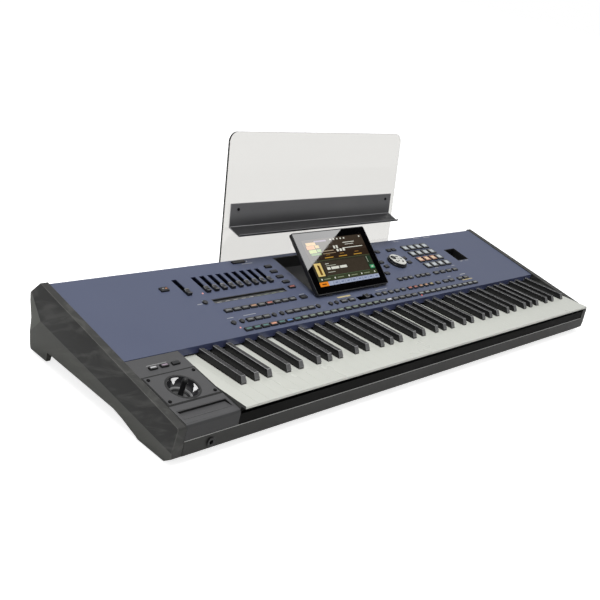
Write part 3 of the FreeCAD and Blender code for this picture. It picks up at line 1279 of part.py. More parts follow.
doc.recompute()
os.makedirs("parts", exist_ok=True)
faults = []
for item in doc.Objects:
    if "Invalid" in item.State or "Error" in item.State:
        faults.append(item.Name)
for node in NODES:
    shape = doc.getObject(node).Shape
    if shape.isNull() or not shape.isValid():
        faults.append(node)
if faults:
    raise RuntimeError("faulty: " + ", ".join(faults))
for node in NODES:
    doc.getObject(node).Shape.exportStep("parts/%s.step" % node)
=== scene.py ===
import json
import math
import bmesh
import bpy
from mathutils import Matrix, Vector


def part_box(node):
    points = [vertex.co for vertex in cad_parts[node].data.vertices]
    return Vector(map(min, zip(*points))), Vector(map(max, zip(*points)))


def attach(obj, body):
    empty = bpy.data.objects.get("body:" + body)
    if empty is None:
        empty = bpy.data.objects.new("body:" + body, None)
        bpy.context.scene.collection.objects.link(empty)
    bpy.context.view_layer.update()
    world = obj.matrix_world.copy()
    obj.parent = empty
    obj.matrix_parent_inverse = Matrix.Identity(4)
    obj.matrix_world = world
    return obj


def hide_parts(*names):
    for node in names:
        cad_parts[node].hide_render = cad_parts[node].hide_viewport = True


# Arranger keyboard, dressed around its CAD frame. Metres, +X to the player's right, +Y to the rear, +Z up.

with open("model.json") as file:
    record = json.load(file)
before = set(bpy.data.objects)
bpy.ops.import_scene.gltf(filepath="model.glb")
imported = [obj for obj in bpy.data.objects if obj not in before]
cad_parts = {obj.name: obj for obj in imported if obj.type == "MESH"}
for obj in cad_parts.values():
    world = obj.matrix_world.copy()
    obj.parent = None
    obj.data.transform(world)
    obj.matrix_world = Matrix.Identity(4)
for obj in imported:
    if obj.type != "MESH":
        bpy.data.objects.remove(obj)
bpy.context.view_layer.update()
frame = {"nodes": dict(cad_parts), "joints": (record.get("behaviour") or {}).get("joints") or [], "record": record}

MM = 0.001
RECORD = frame["record"]
JOINTS = {joint["name"]: joint for joint in frame["joints"]}
BODY_OF = {node: body for body, nodes in RECORD["behaviour"]["bodies"].items() for node in nodes}

MERGE = 2e-6            # vertices closer than this are one
LAYER = 0.08 * MM       # height of a printed mark above its surface
BORE_EDGE = 4.5 * MM    # shorter edges, such as the rims of bores, stay sharp on pieces that have bores
NEAR = 0.2 * MM         # room when a face is told by its place

# Frames of the sloping surfaces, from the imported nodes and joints.
BALL_DROP = 31 * MM     # joystick ball below the top of its plate
SCREEN_TILT = math.radians(41.2)
SCREEN_FACE = 6.5 * MM  # front of the display above its hinge


def slope_frame(origin, along):
    """Frame whose Y runs up a slope and whose Z stands off it."""
    x_axis = Vector((1, 0, 0))
    y_axis = Vector(along).normalized()
    place = Matrix((x_axis, y_axis, x_axis.cross(y_axis))).transposed().to_4x4()
    place.translation = origin
    return place


def front_of(node, along):
    """Front top edge of a sloping node, found from its rear top edge."""
    low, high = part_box(node)
    run = (high.y - low.y) / along.y
    return Vector((0, high.y, high.z)) - along * run


panel_along = Vector(JOINTS["slider_1_travel"]["axis"])
block_along = Vector(JOINTS["joystick_side"]["axis"])
PANEL = slope_frame(front_of("top_panel", panel_along), panel_along)
BLOCK = slope_frame(front_of("joystick_block", block_along), block_along)
STICK = slope_frame(Vector(JOINTS["joystick_side"]["pos_m"]), block_along)
STICK.translation += STICK.col[2].to_3d() * BALL_DROP
SCREEN = slope_frame(Vector(JOINTS["display_tilt"]["pos_m"]), (0, math.cos(SCREEN_TILT), math.sin(SCREEN_TILT)))
DIAL = slope_frame(Vector(JOINTS["value_dial_turn"]["pos_m"]), panel_along)


# Finishes.

def linear(red, green, blue):
    """Colour as it is seen, 0 to 255, as the renderer's own values."""
    seen = [channel / 255 for channel in (red, green, blue)]
    return tuple(c / 12.92 if c <= 0.04045 else ((c + 0.055) / 1.055) ** 2.4 for c in seen) + (1.0,)


def effect(name, inputs, outputs):
    """Empty node group with number sockets."""
    tree = bpy.data.node_groups.new(name, "ShaderNodeTree")
    for label, value in inputs.items():
        tree.interface.new_socket(label, in_out="INPUT", socket_type="NodeSocketFloat").default_value = value
    for label in outputs:
        tree.interface.new_socket(label, in_out="OUTPUT", socket_type="NodeSocketFloat")
    return tree, tree.nodes.new("NodeGroupInput"), tree.nodes.new("NodeGroupOutput")


def moulded_grain():
    """Fine grain for the bump and a broad mottle for colour and roughness."""
    tree, given, result = effect("moulded_grain", {"Scale": 1500.0, "Broad": 9.0}, ("Height", "Mottle"))
    place = tree.nodes.new("ShaderNodeTexCoord")
    for source, target, detail in (("Scale", "Height", 3.0), ("Broad", "Mottle", 4.0)):
        noise = tree.nodes.new("ShaderNodeTexNoise")
        noise.inputs["Detail"].default_value = detail
        tree.links.new(place.outputs["Object"], noise.inputs["Vector"])
        tree.links.new(given.outputs[source], noise.inputs["Scale"])
        tree.links.new(noise.outputs["Fac"], result.inputs[target])
    return tree


def smoke_streaks():
    """Long soft streaks along the end panels, rising a little to the front."""
    tree, given, result = effect("smoke_streaks", {"Scale": 24.0, "Low": 0.46, "High": 0.72}, ("Mask",))
    place = tree.nodes.new("ShaderNodeTexCoord")
    stretch = tree.nodes.new("ShaderNodeMapping")
    stretch.vector_type = "TEXTURE"
    stretch.inputs["Rotation"].default_value = (math.radians(-28), 0, 0)
    stretch.inputs["Scale"].default_value = (1.0, 2.4, 0.55)
    noise = tree.nodes.new("ShaderNodeTexNoise")
    noise.inputs["Detail"].default_value = 5.0
    noise.inputs["Distortion"].default_value = 1.6
    spread = tree.nodes.new("ShaderNodeMapRange")
    spread.interpolation_type = "SMOOTHSTEP"
    tree.links.new(place.outputs["Object"], stretch.inputs["Vector"])
    tree.links.new(stretch.outputs["Vector"], noise.inputs["Vector"])
    tree.links.new(given.outputs["Scale"], noise.inputs["Scale"])
    tree.links.new(noise.outputs["Fac"], spread.inputs["Value"])
    tree.links.new(given.outputs["Low"], spread.inputs["From Min"])
    tree.links.new(given.outputs["High"], spread.inputs["From Max"])
    tree.links.new(spread.outputs["Result"], result.inputs["Mask"])
    return tree


def edge_shine():
    """Softened edges of a piece, broken up by a noise: lighter with handling wear, and partly a painted highlight along
    the edges.
    """
    tree, given, result = effect("edge_shine", {"Amount": 0.6}, ("Mask",))
    edge = tree.nodes.new("ShaderNodeAttribute")
    edge.attribute_name = "edge"
    place = tree.nodes.new("ShaderNodeTexCoord")
    noise = tree.nodes.new("ShaderNodeTexNoise")
    noise.inputs["Scale"].default_value = 60.0
    wear_and_highlight = tree.nodes.new("ShaderNodeMath")
    wear_and_highlight.operation = "MULTIPLY"
    amount = tree.nodes.new("ShaderNodeMath")
    amount.operation = "MULTIPLY"
    tree.links.new(place.outputs["Object"], noise.inputs["Vector"])
    tree.links.new(edge.outputs["Fac"], wear_and_highlight.inputs[0])
    tree.links.new(noise.outputs["Fac"], wear_and_highlight.inputs[1])
    tree.links.new(wear_and_highlight.outputs["Value"], amount.inputs[0])
    tree.links.new(given.outputs["Amount"], amount.inputs[1])
    tree.links.new(amount.outputs["Value"], result.inputs["Mask"])
    return tree


def painted_shade_fade():
    """Share of the height between two levels, for a painted shade that deepens towards a foot."""
    tree, given, result = effect("painted_shade_fade", {"Foot": 0.0, "Top": 1.0}, ("Mask",))
    place = tree.nodes.new("ShaderNodeTexCoord")
    parts = tree.nodes.new("ShaderNodeSeparateXYZ")
    rise = tree.nodes.new("ShaderNodeMapRange")
    rise.interpolation_type = "SMOOTHSTEP"
    tree.links.new(place.outputs["Object"], parts.inputs["Vector"])
    tree.links.new(parts.outputs["Z"], rise.inputs["Value"])
    tree.links.new(given.outputs["Foot"], rise.inputs["From Min"])
    tree.links.new(given.outputs["Top"], rise.inputs["From Max"])
    tree.links.new(rise.outputs["Result"], result.inputs["Mask"])
    return tree


GRAIN, STREAKS, SHINE, FADE = moulded_grain(), smoke_streaks(), edge_shine(), painted_shade_fade()


def placed(tree, shared, **values):
    """Shared effect in a material's tree."""
    node = tree.nodes.new("ShaderNodeGroup")
    node.node_tree = shared
    for label, value in values.items():
        node.inputs[label].default_value = value
    return node


def blended(tree, factor, first, second):
    """Colour between two others, each a colour or a socket."""
    node = tree.nodes.new("ShaderNodeMix")
    node.data_type = "RGBA"
    tree.links.new(factor, node.inputs["Factor"])
    for socket, colour in zip((node.inputs[6], node.inputs[7]), (first, second)):
        if isinstance(colour, tuple):
            socket.default_value = colour
        else:
            tree.links.new(colour, socket)
    return node.outputs[2]


def ranged(tree, source, low, high):
    """Noise value spread between two others."""
    node = tree.nodes.new("ShaderNodeMapRange")
    node.inputs["From Min"].default_value = 0.3
    node.inputs["From Max"].default_value = 0.7
    node.inputs["To Min"].default_value = low
    node.inputs["To Max"].default_value = high
    tree.links.new(source, node.inputs["Value"])
    return node.outputs["Result"]


def new_material(name, sockets):
    """Material with constants on its shader's own sockets; an underscore stands for a space."""
    material = bpy.data.materials.new(name)
    material.use_nodes = True
    shader = material.node_tree.nodes["Principled BSDF"]
    for label, value in sockets.items():
        shader.inputs[label.replace("_", " ")].default_value = value
    return material, material.node_tree, shader


def finish(name, dark, light, rough, grain=1500.0, depth=0.12, edge=None, wear_and_highlight=0.6, streak=None, glint=False,
           foot=None, **sockets):
    """Procedural finish: mottled colour, uneven gloss and fine bump, and where asked streaks, a foot that deepens as
    painted shade, edges lighter as wear and painted highlight, and edges that glow as a painted highlight."""
    material, tree, shader = new_material(name, sockets)
    surface = placed(tree, GRAIN, Scale=grain)
    colour = blended(tree, surface.outputs["Mottle"], dark, light)
    if streak:
        colour = blended(tree, placed(tree, STREAKS).outputs["Mask"], colour, streak)
    if foot:
        colour = blended(tree, placed(tree, FADE, Foot=foot[0], Top=foot[1]).outputs["Mask"], foot[2], colour)
    if edge:
        shine = placed(tree, SHINE, Amount=wear_and_highlight).outputs["Mask"]
        colour = blended(tree, shine, colour, edge)
        # Glint: the edge colour is also given off as light, a painted highlight.
        if glint:
            tree.links.new(blended(tree, shine, (0, 0, 0, 1), edge), shader.inputs["Emission Color"])
    tree.links.new(colour, shader.inputs["Base Color"])
    tree.links.new(ranged(tree, surface.outputs["Mottle"], rough - 0.05, rough + 0.05), shader.inputs["Roughness"])
    bump = tree.nodes.new("ShaderNodeBump")
    bump.inputs["Strength"].default_value = depth
    bump.inputs["Distance"].default_value = 0.1 * MM
    tree.links.new(surface.outputs["Height"], bump.inputs["Height"])
    tree.links.new(bump.outputs["Normal"], shader.inputs["Normal"])
    return material


def tinted(name, rough, glow=0.0, **sockets):
    """Finish whose colour each face carries, with a share of it given off as light."""
    material, tree, shader = new_material(name, sockets)
    tint = tree.nodes.new("ShaderNodeAttribute")
    tint.attribute_name = "tint"
    surface = placed(tree, GRAIN, Scale=900.0, Broad=160.0)
    shade = tree.nodes.new("ShaderNodeMix")
    shade.data_type = "RGBA"
    shade.blend_type = "MULTIPLY"
    shade.inputs["Factor"].default_value = 0.35
    tree.links.new(tint.outputs["Color"], shade.inputs[6])
    tree.links.new(surface.outputs["Mottle"], shade.inputs[7])
    tree.links.new(shade.outputs[2], shader.inputs["Emission Color" if glow else "Base Color"])
    if glow:
        shader.inputs["Base Color"].default_value = linear(6, 6, 7)
        shader.inputs["Emission Strength"].default_value = glow
    tree.links.new(ranged(tree, surface.outputs["Mottle"], rough - 0.03, rough + 0.03), shader.inputs["Roughness"])
    return material


# Edge colours below lighten the softened edges, as wear and partly as a painted highlight.
panel_blue = finish("panel_blue", linear(88, 95, 119), linear(94, 101, 124), 0.45, grain=2600, depth=0.05,
                    edge=linear(112, 120, 142), Specular_IOR_Level=0.3)
# The panel's upright front lip, a darker and glossier copy of its blue: painted shade.
lip_navy_shaded = finish("lip_navy_shaded", linear(70, 76, 108), linear(78, 84, 118), 0.2, depth=0.02, edge=linear(100, 108, 140))
cheek_charcoal = finish("cheek_charcoal", linear(25, 25, 24), linear(31, 31, 30), 0.5, depth=0.2,
                        edge=linear(104, 104, 101), wear_and_highlight=0.9, streak=linear(64, 64, 62))
# Lit copies of the end panels' charcoal, painted lighter: below the long fold, behind the rear fold, and on the top and
# front.
cheek_under_lit = finish("cheek_under_lit", linear(72, 73, 69), linear(80, 81, 76), 0.55, depth=0.3,
                     edge=linear(104, 104, 101), streak=linear(84, 85, 80))
cheek_rear_lit = finish("cheek_rear_lit", linear(92, 93, 88), linear(102, 103, 98), 0.55, depth=0.3,
                    edge=linear(118, 118, 114))
cheek_crest_lit = finish("cheek_crest_lit", linear(42, 42, 40), linear(52, 52, 50), 0.5, depth=0.3,
                     edge=linear(112, 112, 108), wear_and_highlight=0.9, streak=linear(70, 70, 67))
block_grey = finish("block_grey", linear(73, 73, 75), linear(84, 84, 85), 0.5, grain=2200, depth=0.45,
                    edge=linear(116, 116, 116))
# The block's front, a darker copy of its grey: painted shade.
block_front = finish("block_front", linear(49, 49, 50), linear(57, 57, 58), 0.5, grain=2200, depth=0.45,
                     edge=linear(116, 116, 116))
rail_grey = finish("rail_grey", linear(35, 35, 32), linear(44, 44, 41), 0.48, depth=0.2, edge=linear(96, 96, 94))
# Painted highlight along the rail's top bevel.
rail_highlight_line = finish("rail_highlight_line", linear(206, 206, 203), linear(218, 218, 215), 0.4)
# Black of the rail's apron, also painted as shade on the white keys below their lip.
apron_black_and_key_shade = finish("apron_black_and_key_shade", linear(12, 12, 11), linear(18, 18, 16), 0.6, depth=0.04, Specular_IOR_Level=0.08)
cap_black = finish("cap_black", linear(14, 14, 15), linear(20, 20, 21), 0.3, depth=0.08, edge=linear(70, 70, 72),
                   wear_and_highlight=0.8)
satin_black = finish("satin_black", linear(20, 20, 21), linear(27, 27, 28), 0.4, depth=0.1, edge=linear(62, 62, 64))
gloss_black = finish("gloss_black", linear(10, 10, 11), linear(14, 14, 15), 0.22, depth=0.02, edge=linear(34, 34, 36))
deep_black = finish("deep_black", linear(8, 8, 8), linear(13, 13, 13), 0.55, depth=0.1)
well_black = finish("well_black", linear(56, 56, 57), linear(66, 66, 67), 0.4, edge=linear(70, 70, 72))
window_bed = finish("window_bed", linear(84, 85, 86), linear(96, 97, 98), 0.4, edge=linear(110, 110, 112))
# Painted highlight on the slider caps' finger faces.
knob_grey_highlit = finish("knob_grey_highlit", linear(56, 56, 58), linear(72, 72, 74), 0.35, edge=linear(170, 170, 172), wear_and_highlight=1.2)
case_black = finish("case_black", linear(26, 26, 26), linear(34, 34, 34), 0.55, grain=900, depth=0.5,
                    edge=linear(62, 62, 62))
frame_black = finish("frame_black", linear(24, 24, 24), linear(30, 30, 30), 0.6)
rubber_black = finish("rubber_black", linear(20, 20, 20), linear(28, 28, 27), 0.8, grain=700, depth=0.4)
screw_black = finish("screw_black", linear(9, 9, 10), linear(15, 15, 16), 0.6, Specular_IOR_Level=0.12)
board_green = finish("board_green", linear(8, 22, 14), linear(11, 28, 18), 0.45)
ivory_white = finish("ivory_white", linear(216, 218, 210), linear(221, 223, 215), 0.3, grain=700, depth=0.02)
# Painted shade on the side of the first white key.
ivory_painted_shade = finish("ivory_painted_shade", linear(84, 84, 82), linear(94, 94, 92), 0.45, grain=700, depth=0.02)
# The black keys: sides in the key's black; crown and front are lighter copies as painted light, with a painted
# highlight on the crown's edges.
ebony_black = finish("ebony_black", linear(30, 30, 31), linear(38, 38, 39), 0.25, grain=2400, depth=0.1,
                     edge=linear(70, 70, 71), Specular_IOR_Level=0.25)
ebony_crown_lit = finish("ebony_crown_lit", linear(48, 48, 49), linear(58, 58, 59), 0.5, grain=2400, depth=0.4,
                     edge=linear(178, 178, 179), wear_and_highlight=2.0, Specular_IOR_Level=0.35)
ebony_front_lit = finish("ebony_front_lit", linear(92, 92, 93), linear(106, 106, 107), 0.4, grain=2400, depth=0.3,
                     edge=linear(140, 140, 141), wear_and_highlight=1.2)
LEDGE_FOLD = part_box("music_stand_ledge")[0].z + 12 * MM     # where the shelf meets its back
LEDGE_FADE = 22 * MM                                        # height over which the back deepens to the fold, a painted shade
# The stand's ledge: its back darkens towards the fold as painted shade, the shelf's top is a darker copy as painted
# shade, and its softened edges are lighter as a painted highlight.
ledge_charcoal = finish("ledge_charcoal", linear(94, 94, 96), linear(112, 112, 114), 0.36, grain=1200, depth=0.2,
                        foot=(LEDGE_FOLD, LEDGE_FOLD + LEDGE_FADE, linear(64, 64, 66)))
ledge_shelf_shaded = finish("ledge_shelf_shaded", linear(30, 30, 32), linear(38, 38, 40), 0.4, grain=1200, depth=0.2)
ledge_edge_highlight = finish("ledge_edge_highlight", linear(128, 128, 130), linear(150, 150, 152), 0.35, grain=1200, depth=0.1)
# Chrome drawn with painted reflections: dark gloss for the dark surroundings it mirrors, and bright wedges, also given
# off as light, for the studio's lamps.
chrome_painted_reflections = finish("chrome_painted_reflections", linear(34, 34, 37), linear(52, 52, 55), 0.16, depth=0.01,
                       edge=linear(252, 252, 252), wear_and_highlight=2.2, glint=True, Emission_Strength=0.45,
                       Specular_IOR_Level=0.8)
dial_silver = finish("dial_silver", linear(214, 214, 208), linear(224, 224, 219), 0.35, depth=0.05,
                     edge=linear(232, 232, 228))
socket_metal = finish("socket_metal", linear(170, 170, 172), linear(190, 190, 192), 0.25, Metallic=1.0)
glass_black = finish("glass_black", linear(5, 5, 6), linear(7, 7, 8), 0.03, depth=0.0)
clear_acrylic = finish("clear_acrylic", linear(231, 230, 227), linear(233, 232, 229), 0.05, depth=0.0,
                       Transmission_Weight=1.0, IOR=1.49)
cap_tint = tinted("cap_tint", 0.45)
print_tint = tinted("print_tint", 0.5)
lamp_tint = tinted("lamp_tint", 0.3, glow=1.0)
picture_tint = tinted("picture_tint", 0.03, glow=1.0)


# Shaping.

def islands(bm):
    """Separate solids of a mesh, each as a list of its faces."""
    left = set(bm.faces)
    found = []
    while left:
        waiting = [left.pop()]
        solid = []
        while waiting:
            face = waiting.pop()
            solid.append(face)
            for edge in face.edges:
                for other in edge.link_faces:
                    if other in left:
                        left.remove(other)
                        waiting.append(other)
        found.append(solid)
    return found


def middle(faces):
    """Mean of the faces' centres."""
    points = [face.calc_center_median() for face in faces]
    return sum(points, Vector()) / len(points)


def cad_copy(node):
    """Copy of a CAD mesh, merged, with its flat faces whole."""
    bm = bmesh.new()
    bm.from_mesh(frame["nodes"][node].data)
    bmesh.ops.remove_doubles(bm, verts=bm.verts, dist=MERGE)
    bmesh.ops.dissolve_limit(bm, angle_limit=math.radians(0.5), verts=bm.verts, edges=bm.edges)
    return bm


def span(node, place):
    """Lowest and highest corner of a node in a frame."""
    back = place.inverted()
    points = [back @ vert.co for vert in frame["nodes"][node].data.vertices]
    return [Vector(pick(p[i] for p in points) for i in range(3)) for pick in (min, max)]


def soften(bm, width, segments=2, angle=28, least=0.0):
    """Rounds the sharp edges, in degrees, and marks the new faces as softened edges, which the finishes lighten as wear
    and painted highlight.

    Edges shorter than the least length stay, so that the fine rims of bores don't hold the rounding back."""
    layer = bm.faces.layers.float.get("edge") or bm.faces.layers.float.new("edge")
    sharp = [edge for edge in bm.edges if edge.is_manifold and edge.calc_face_angle() > math.radians(angle)
             and edge.calc_length() > least]
    made = bmesh.ops.bevel(bm, geom=sharp, offset=width, offset_type="OFFSET", affect="EDGES", segments=segments,
                           profile=0.5, clamp_overlap=True, material=-1)
    for face in made["faces"]:
        if face.is_valid:
            face[layer] = 1.0
    return bm


def piece(name, bm, materials, body, nodes=(), smooth=40):
    """Finished object from a mesh, riding on its body and standing for its CAD nodes."""
    mesh = bpy.data.meshes.new(name)
    bm.to_mesh(mesh)
    bm.free()
    mesh.shade_smooth()
    mesh.set_sharp_from_angle(angle=math.radians(smooth))
    for material in materials:
        mesh.materials.append(material)
    thing = bpy.data.objects.new(name, mesh)
    bpy.context.scene.collection.objects.link(thing)
    normals = thing.modifiers.new("flat_faces", "WEIGHTED_NORMAL")
    normals.keep_sharp = True
    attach(thing, body)
    if nodes:
        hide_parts(*nodes)
    return thing


def dress(node, materials, width, segments=2, paint=None, rim=None, least=0.0):
    """CAD node with rounded edges; paint gives a face its material number, and rim the softened edges theirs."""
    bm = soften(cad_copy(node), width * MM, segments, least=least)
    softened = bm.faces.layers.float["edge"]
    for face in bm.faces:
        if rim and face[softened]:
            face.material_index = rim
        elif paint:
            face.material_index = paint(face)
    return piece(node + "_dressed", bm, materials, BODY_OF[node], [node])


def turned(bm, points, steps=64):
    """Full spin of a profile of radius and height about Z."""
    verts = [bm.verts.new((radius, 0, height)) for radius, height in points]
    edges = [bm.edges.new(pair) for pair in zip(verts, verts[1:])]
    bmesh.ops.spin(bm, geom=verts + edges, cent=(0, 0, 0), axis=(0, 0, 1), angle=math.tau, steps=steps,
                   use_merge=True)
    bmesh.ops.remove_doubles(bm, verts=bm.verts, dist=MERGE)
    bmesh.ops.recalc_face_normals(bm, faces=bm.faces)


def arc(centre, radius, start, end, count):
    """Points of a circle arc in a profile, angles in degrees."""
    turns = [math.radians(start + (end - start) * i / count) for i in range(count + 1)]
    return [(centre[0] + radius * math.cos(t), centre[1] + radius * math.sin(t)) for t in turns]


def tile(bm, place, centre, size, height=LAYER, tint=None, turn=0.0):
    """Thin printed rectangle in a frame, sizes in millimetres."""
    at = place @ Matrix.Translation((centre[0] * MM, centre[1] * MM, height)) @ Matrix.Rotation(turn, 4, "Z")
    at = at @ Matrix.Diagonal((size[0] * MM, size[1] * MM, 1, 1))
    made = bmesh.ops.create_grid(bm, x_segments=1, y_segments=1, size=0.5, matrix=at)
    if tint:
        colour = bm.faces.layers.float_color.get("tint") or bm.faces.layers.float_color.new("tint")
        for face in {face for vert in made["verts"] for face in vert.link_faces}:
            face[colour] = tint


# Case, panel and rail.

def lip_face(face):
    """Front lip of the panel, painted darker as shade."""
    return 1 if face.normal.y < -0.8 else 0


def cheek_face(face):
    """Facets of an end panel, painted lighter where light falls on them: the one behind the rear fold, those below the
    long fold, its top and front.
    """
    if abs(face.normal.x) > 0.8 and face.normal.y > 0.05:
        return 3
    if face.normal.z < -0.05:
        return 1
    return 2 if abs(face.normal.x) < 0.6 else 0


def nose_face(face):
    """Front of the joystick block, painted darker as shade."""
    return 1 if face.normal.y < -0.7 else 0


def shelf_face(face):
    """Top of the stand's shelf, painted darker as shade."""
    return 1 if face.normal.z > 0.5 else 0


def nut_face(face):
    """Nuts and bushes of the rear sockets, which stand out behind the rear panel."""
    return 1 if face.calc_center_median().y > REAR_Y + NEAR else 0


def rail_face(face):
    """Bevel along the rail's top, painted light as a highlight, and the upright strip below the keys' fronts."""
    if face.calc_center_median().z > RAIL_TOP + NEAR:
        return 2
    return 1 if face.normal.y < -0.3 and face.normal.z > 0.1 else 0


RAIL_TOP = 35.5 * MM
REAR_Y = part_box("rear_panel")[1].y
dress("bottom_case", [case_black], 0.5, least=BORE_EDGE)
for side in ("left_end_panel", "right_end_panel"):
    dress(side, [cheek_charcoal, cheek_under_lit, cheek_crest_lit, cheek_rear_lit], 0.6, 2, cheek_face)
dress("top_panel", [panel_blue, lip_navy_shaded], 0.4, 2, lip_face, least=BORE_EDGE)
dress("front_rail", [rail_grey, rail_highlight_line, apron_black_and_key_shade], 0.3, 2, rail_face, least=BORE_EDGE)
dress("rear_panel", [case_black], 0.4, least=BORE_EDGE)
dress("stand_brackets", [satin_black], 0.8)
dress("jack_sockets", [satin_black, socket_metal], 0.4, 2, nut_face)
dress("mains_inlet", [satin_black], 0.5)
dress("feet", [rubber_black], 1.5, 3)
dress("machine_screws", [screw_black], 0.35)
dress("usb_well", [deep_black], 0.4)
dress("display_well", [well_black], 0.5, least=BORE_EDGE)
dress("music_stand_plate", [clear_acrylic], 0.7, least=BORE_EDGE)
dress("music_stand_ledge", [ledge_charcoal, ledge_shelf_shaded, ledge_edge_highlight], 0.9, 2, shelf_face, 2, BORE_EDGE)
for node, finish_of_node in (("key_frame", frame_black), ("main_board", board_green)):
    mesh = frame["nodes"][node].data
    mesh.materials.clear()
    mesh.materials.append(finish_of_node)


# Keys: closed up to a hair line, the white ones painted dark below the lip as shade, the black ones with a matt crown,
# their crown and front painted lighter and their top edges painted as highlights.
KEY_TOP = 67 * MM
LIP_THICK = 4.2 * MM
LIP_FOOT = KEY_TOP - LIP_THICK + 0.3 * MM   # just above the lip's softened lower edge
HAIR_LINE = 0.12 * MM
WHITE_COUNT = 45
KEYS_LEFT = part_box("white_keys_e")[0].x
WHITE_PITCH = (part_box("white_keys_g")[1].x - KEYS_LEFT) / WHITE_COUNT


def below_lip(face):
    """Painted shade: dark below the lip, and grey on the side of the first key that faces the block."""
    centre = face.calc_center_median()
    if face.normal.x < -0.5 and centre.x < KEYS_LEFT + 0.5 * MM:
        return 2
    return 1 if centre.z < LIP_FOOT and abs(face.normal.x) < 0.5 else 0


def crown_face(face):
    """Top and front of a black key, painted as lighter copies of its black."""
    if face.normal.y < -0.5:
        return 2
    return 1 if face.normal.z > 0.4 else 0


for node in sorted(frame["nodes"]):
    if node.startswith("white_keys"):
        bm = cad_copy(node)
        for solid in islands(bm):
            verts = list({vert for face in solid for vert in face.verts})
            low, high = min(vert.co.x for vert in verts), max(vert.co.x for vert in verts)
            wider = (WHITE_PITCH - HAIR_LINE) / (high - low)
            bmesh.ops.scale(bm, vec=(wider, 1, 1), space=Matrix.Translation((-(low + high) / 2, 0, 0)), verts=verts)
        soften(bm, 0.35 * MM, least=BORE_EDGE)
        for face in bm.faces:
            face.material_index = below_lip(face)
        piece(node + "_dressed", bm, [ivory_white, apron_black_and_key_shade, ivory_painted_shade], BODY_OF[node], [node])
    if node.startswith("black_keys"):
        dress(node, [ebony_black, ebony_crown_lit, ebony_front_lit], 1.0, 3, crown_face, least=BORE_EDGE)


# Joystick: block and plate, chrome bowl, boot and stick, ribbon.
dress("joystick_block", [block_grey, block_front], 0.4, 2, nose_face, least=BORE_EDGE)
dress("joystick_plate", [block_grey], 0.5, least=BORE_EDGE)
dress("joystick_ring", [satin_black], 0.3)
BOWL_R = 22.8
HOLE_R = 14.0
CREST_R = 17.0
SHEEN_AT = (84, -8)     # degrees round the stick of the two painted reflection wedges
SHEEN_HALF = 15
bowl_end = math.degrees(math.acos(HOLE_R / BOWL_R))
crest_end = math.degrees(math.acos(CREST_R / BOWL_R))
bm = bmesh.new()
turned(bm, [(r * MM, z * MM) for r, z in
            [(26.3, 0.45), (26.3, 0.7), (26, 0.9), (24.2, 1), (23.2, 0.9)]
            + arc((0, 0.4), BOWL_R, 0, -crest_end, 10) + [(16.6, -13.9), (16, -14.8)]
            + arc((0, 0.4), BOWL_R, -crest_end - 4, -bowl_end, 4)
            + [(HOLE_R, -18.6), (HOLE_R + 1.2, -18.9), (17.8, -20), (18, -36.9), (21, -36.9), (21, -13)]], 96)
# Painted reflection on the bowl: two bright wedges round the stick and a fainter ring on the crest.
sheen = bm.faces.layers.float.new("edge")
for face in bm.faces:
    centre = face.calc_center_median() / MM
    reach = math.hypot(centre.x, centre.y)
    turn = math.degrees(math.atan2(centre.y, centre.x))
    face.material_index = 1 if reach < CREST_R - 1.2 or reach > BOWL_R + 0.6 else 0
    if CREST_R - 1.2 < reach < CREST_R + 0.9:
        face[sheen] = 0.16
    elif centre.z < -0.5:
        room = SHEEN_HALF * (1 + (centre.z + 2) / 9)
        face[sheen] = 1.0 if min(abs(turn - at) for at in SHEEN_AT) < room else 0.0
bmesh.ops.transform(bm, matrix=STICK, verts=bm.verts)
piece("joystick_bowl", bm, [chrome_painted_reflections, satin_black], BODY_OF["joystick_cup"],
      ["joystick_cup"])
bm = bmesh.new()
turned(bm, [(r * MM, z * MM - BALL_DROP) for r, z in
            [(0, -11.4)] + arc((0, 0), 11.4, -88, 48, 18)
            + [(7.2, 9), (7, 10.4), (5.6, 12.6), (4.6, 15.5), (4, 19), (3.7, 24), (3.7, 36), (3.8, 37), (4.2, 38.5)]
            + arc((0, 41.8), 4.2, 0, 90, 7)])
bmesh.ops.transform(bm, matrix=STICK, verts=bm.verts)
piece("joystick_handle", bm, [satin_black], BODY_OF["joystick_stick"], ["joystick_stick"])


def bed_face(face):
    """Bed of the ribbon, apart from its upright walls, which are painted black as shade."""
    return 0 if face.normal.z > 0.5 else 1


dress("ribbon_strip", [block_grey, deep_black], 0.3, 2, bed_face)
SEAM = 2.3
plate_low, plate_high = [corner / MM for corner in span("joystick_plate", BLOCK)]
plate_mid = (plate_low + plate_high) / 2
plate_size = plate_high - plate_low
bm = bmesh.new()
for side in (-1, 1):
    tile(bm, BLOCK, (plate_mid.x + side * (plate_size.x + SEAM) / 2, plate_mid.y), (SEAM, plate_size.y + 2 * SEAM))
    tile(bm, BLOCK, (plate_mid.x, plate_mid.y + side * (plate_size.y + SEAM) / 2), (plate_size.x, SEAM))
PLATE_SHADOW = 1.2        # painted shadow along the plate's edges, to the left and to the front
plate_top = plate_high.z * MM + LAYER
# Painted shadow along the plate's left and front edges; the tiles above are dark joints round it.
tile(bm, BLOCK, (plate_low.x + PLATE_SHADOW / 2, plate_mid.y), (PLATE_SHADOW, plate_size.y), plate_top)
tile(bm, BLOCK, (plate_mid.x + PLATE_SHADOW / 2, plate_low.y + PLATE_SHADOW / 2), (plate_size.x - PLATE_SHADOW, PLATE_SHADOW),
     plate_top)
piece("plate_seam_and_shadow", bm, [deep_black], "case")


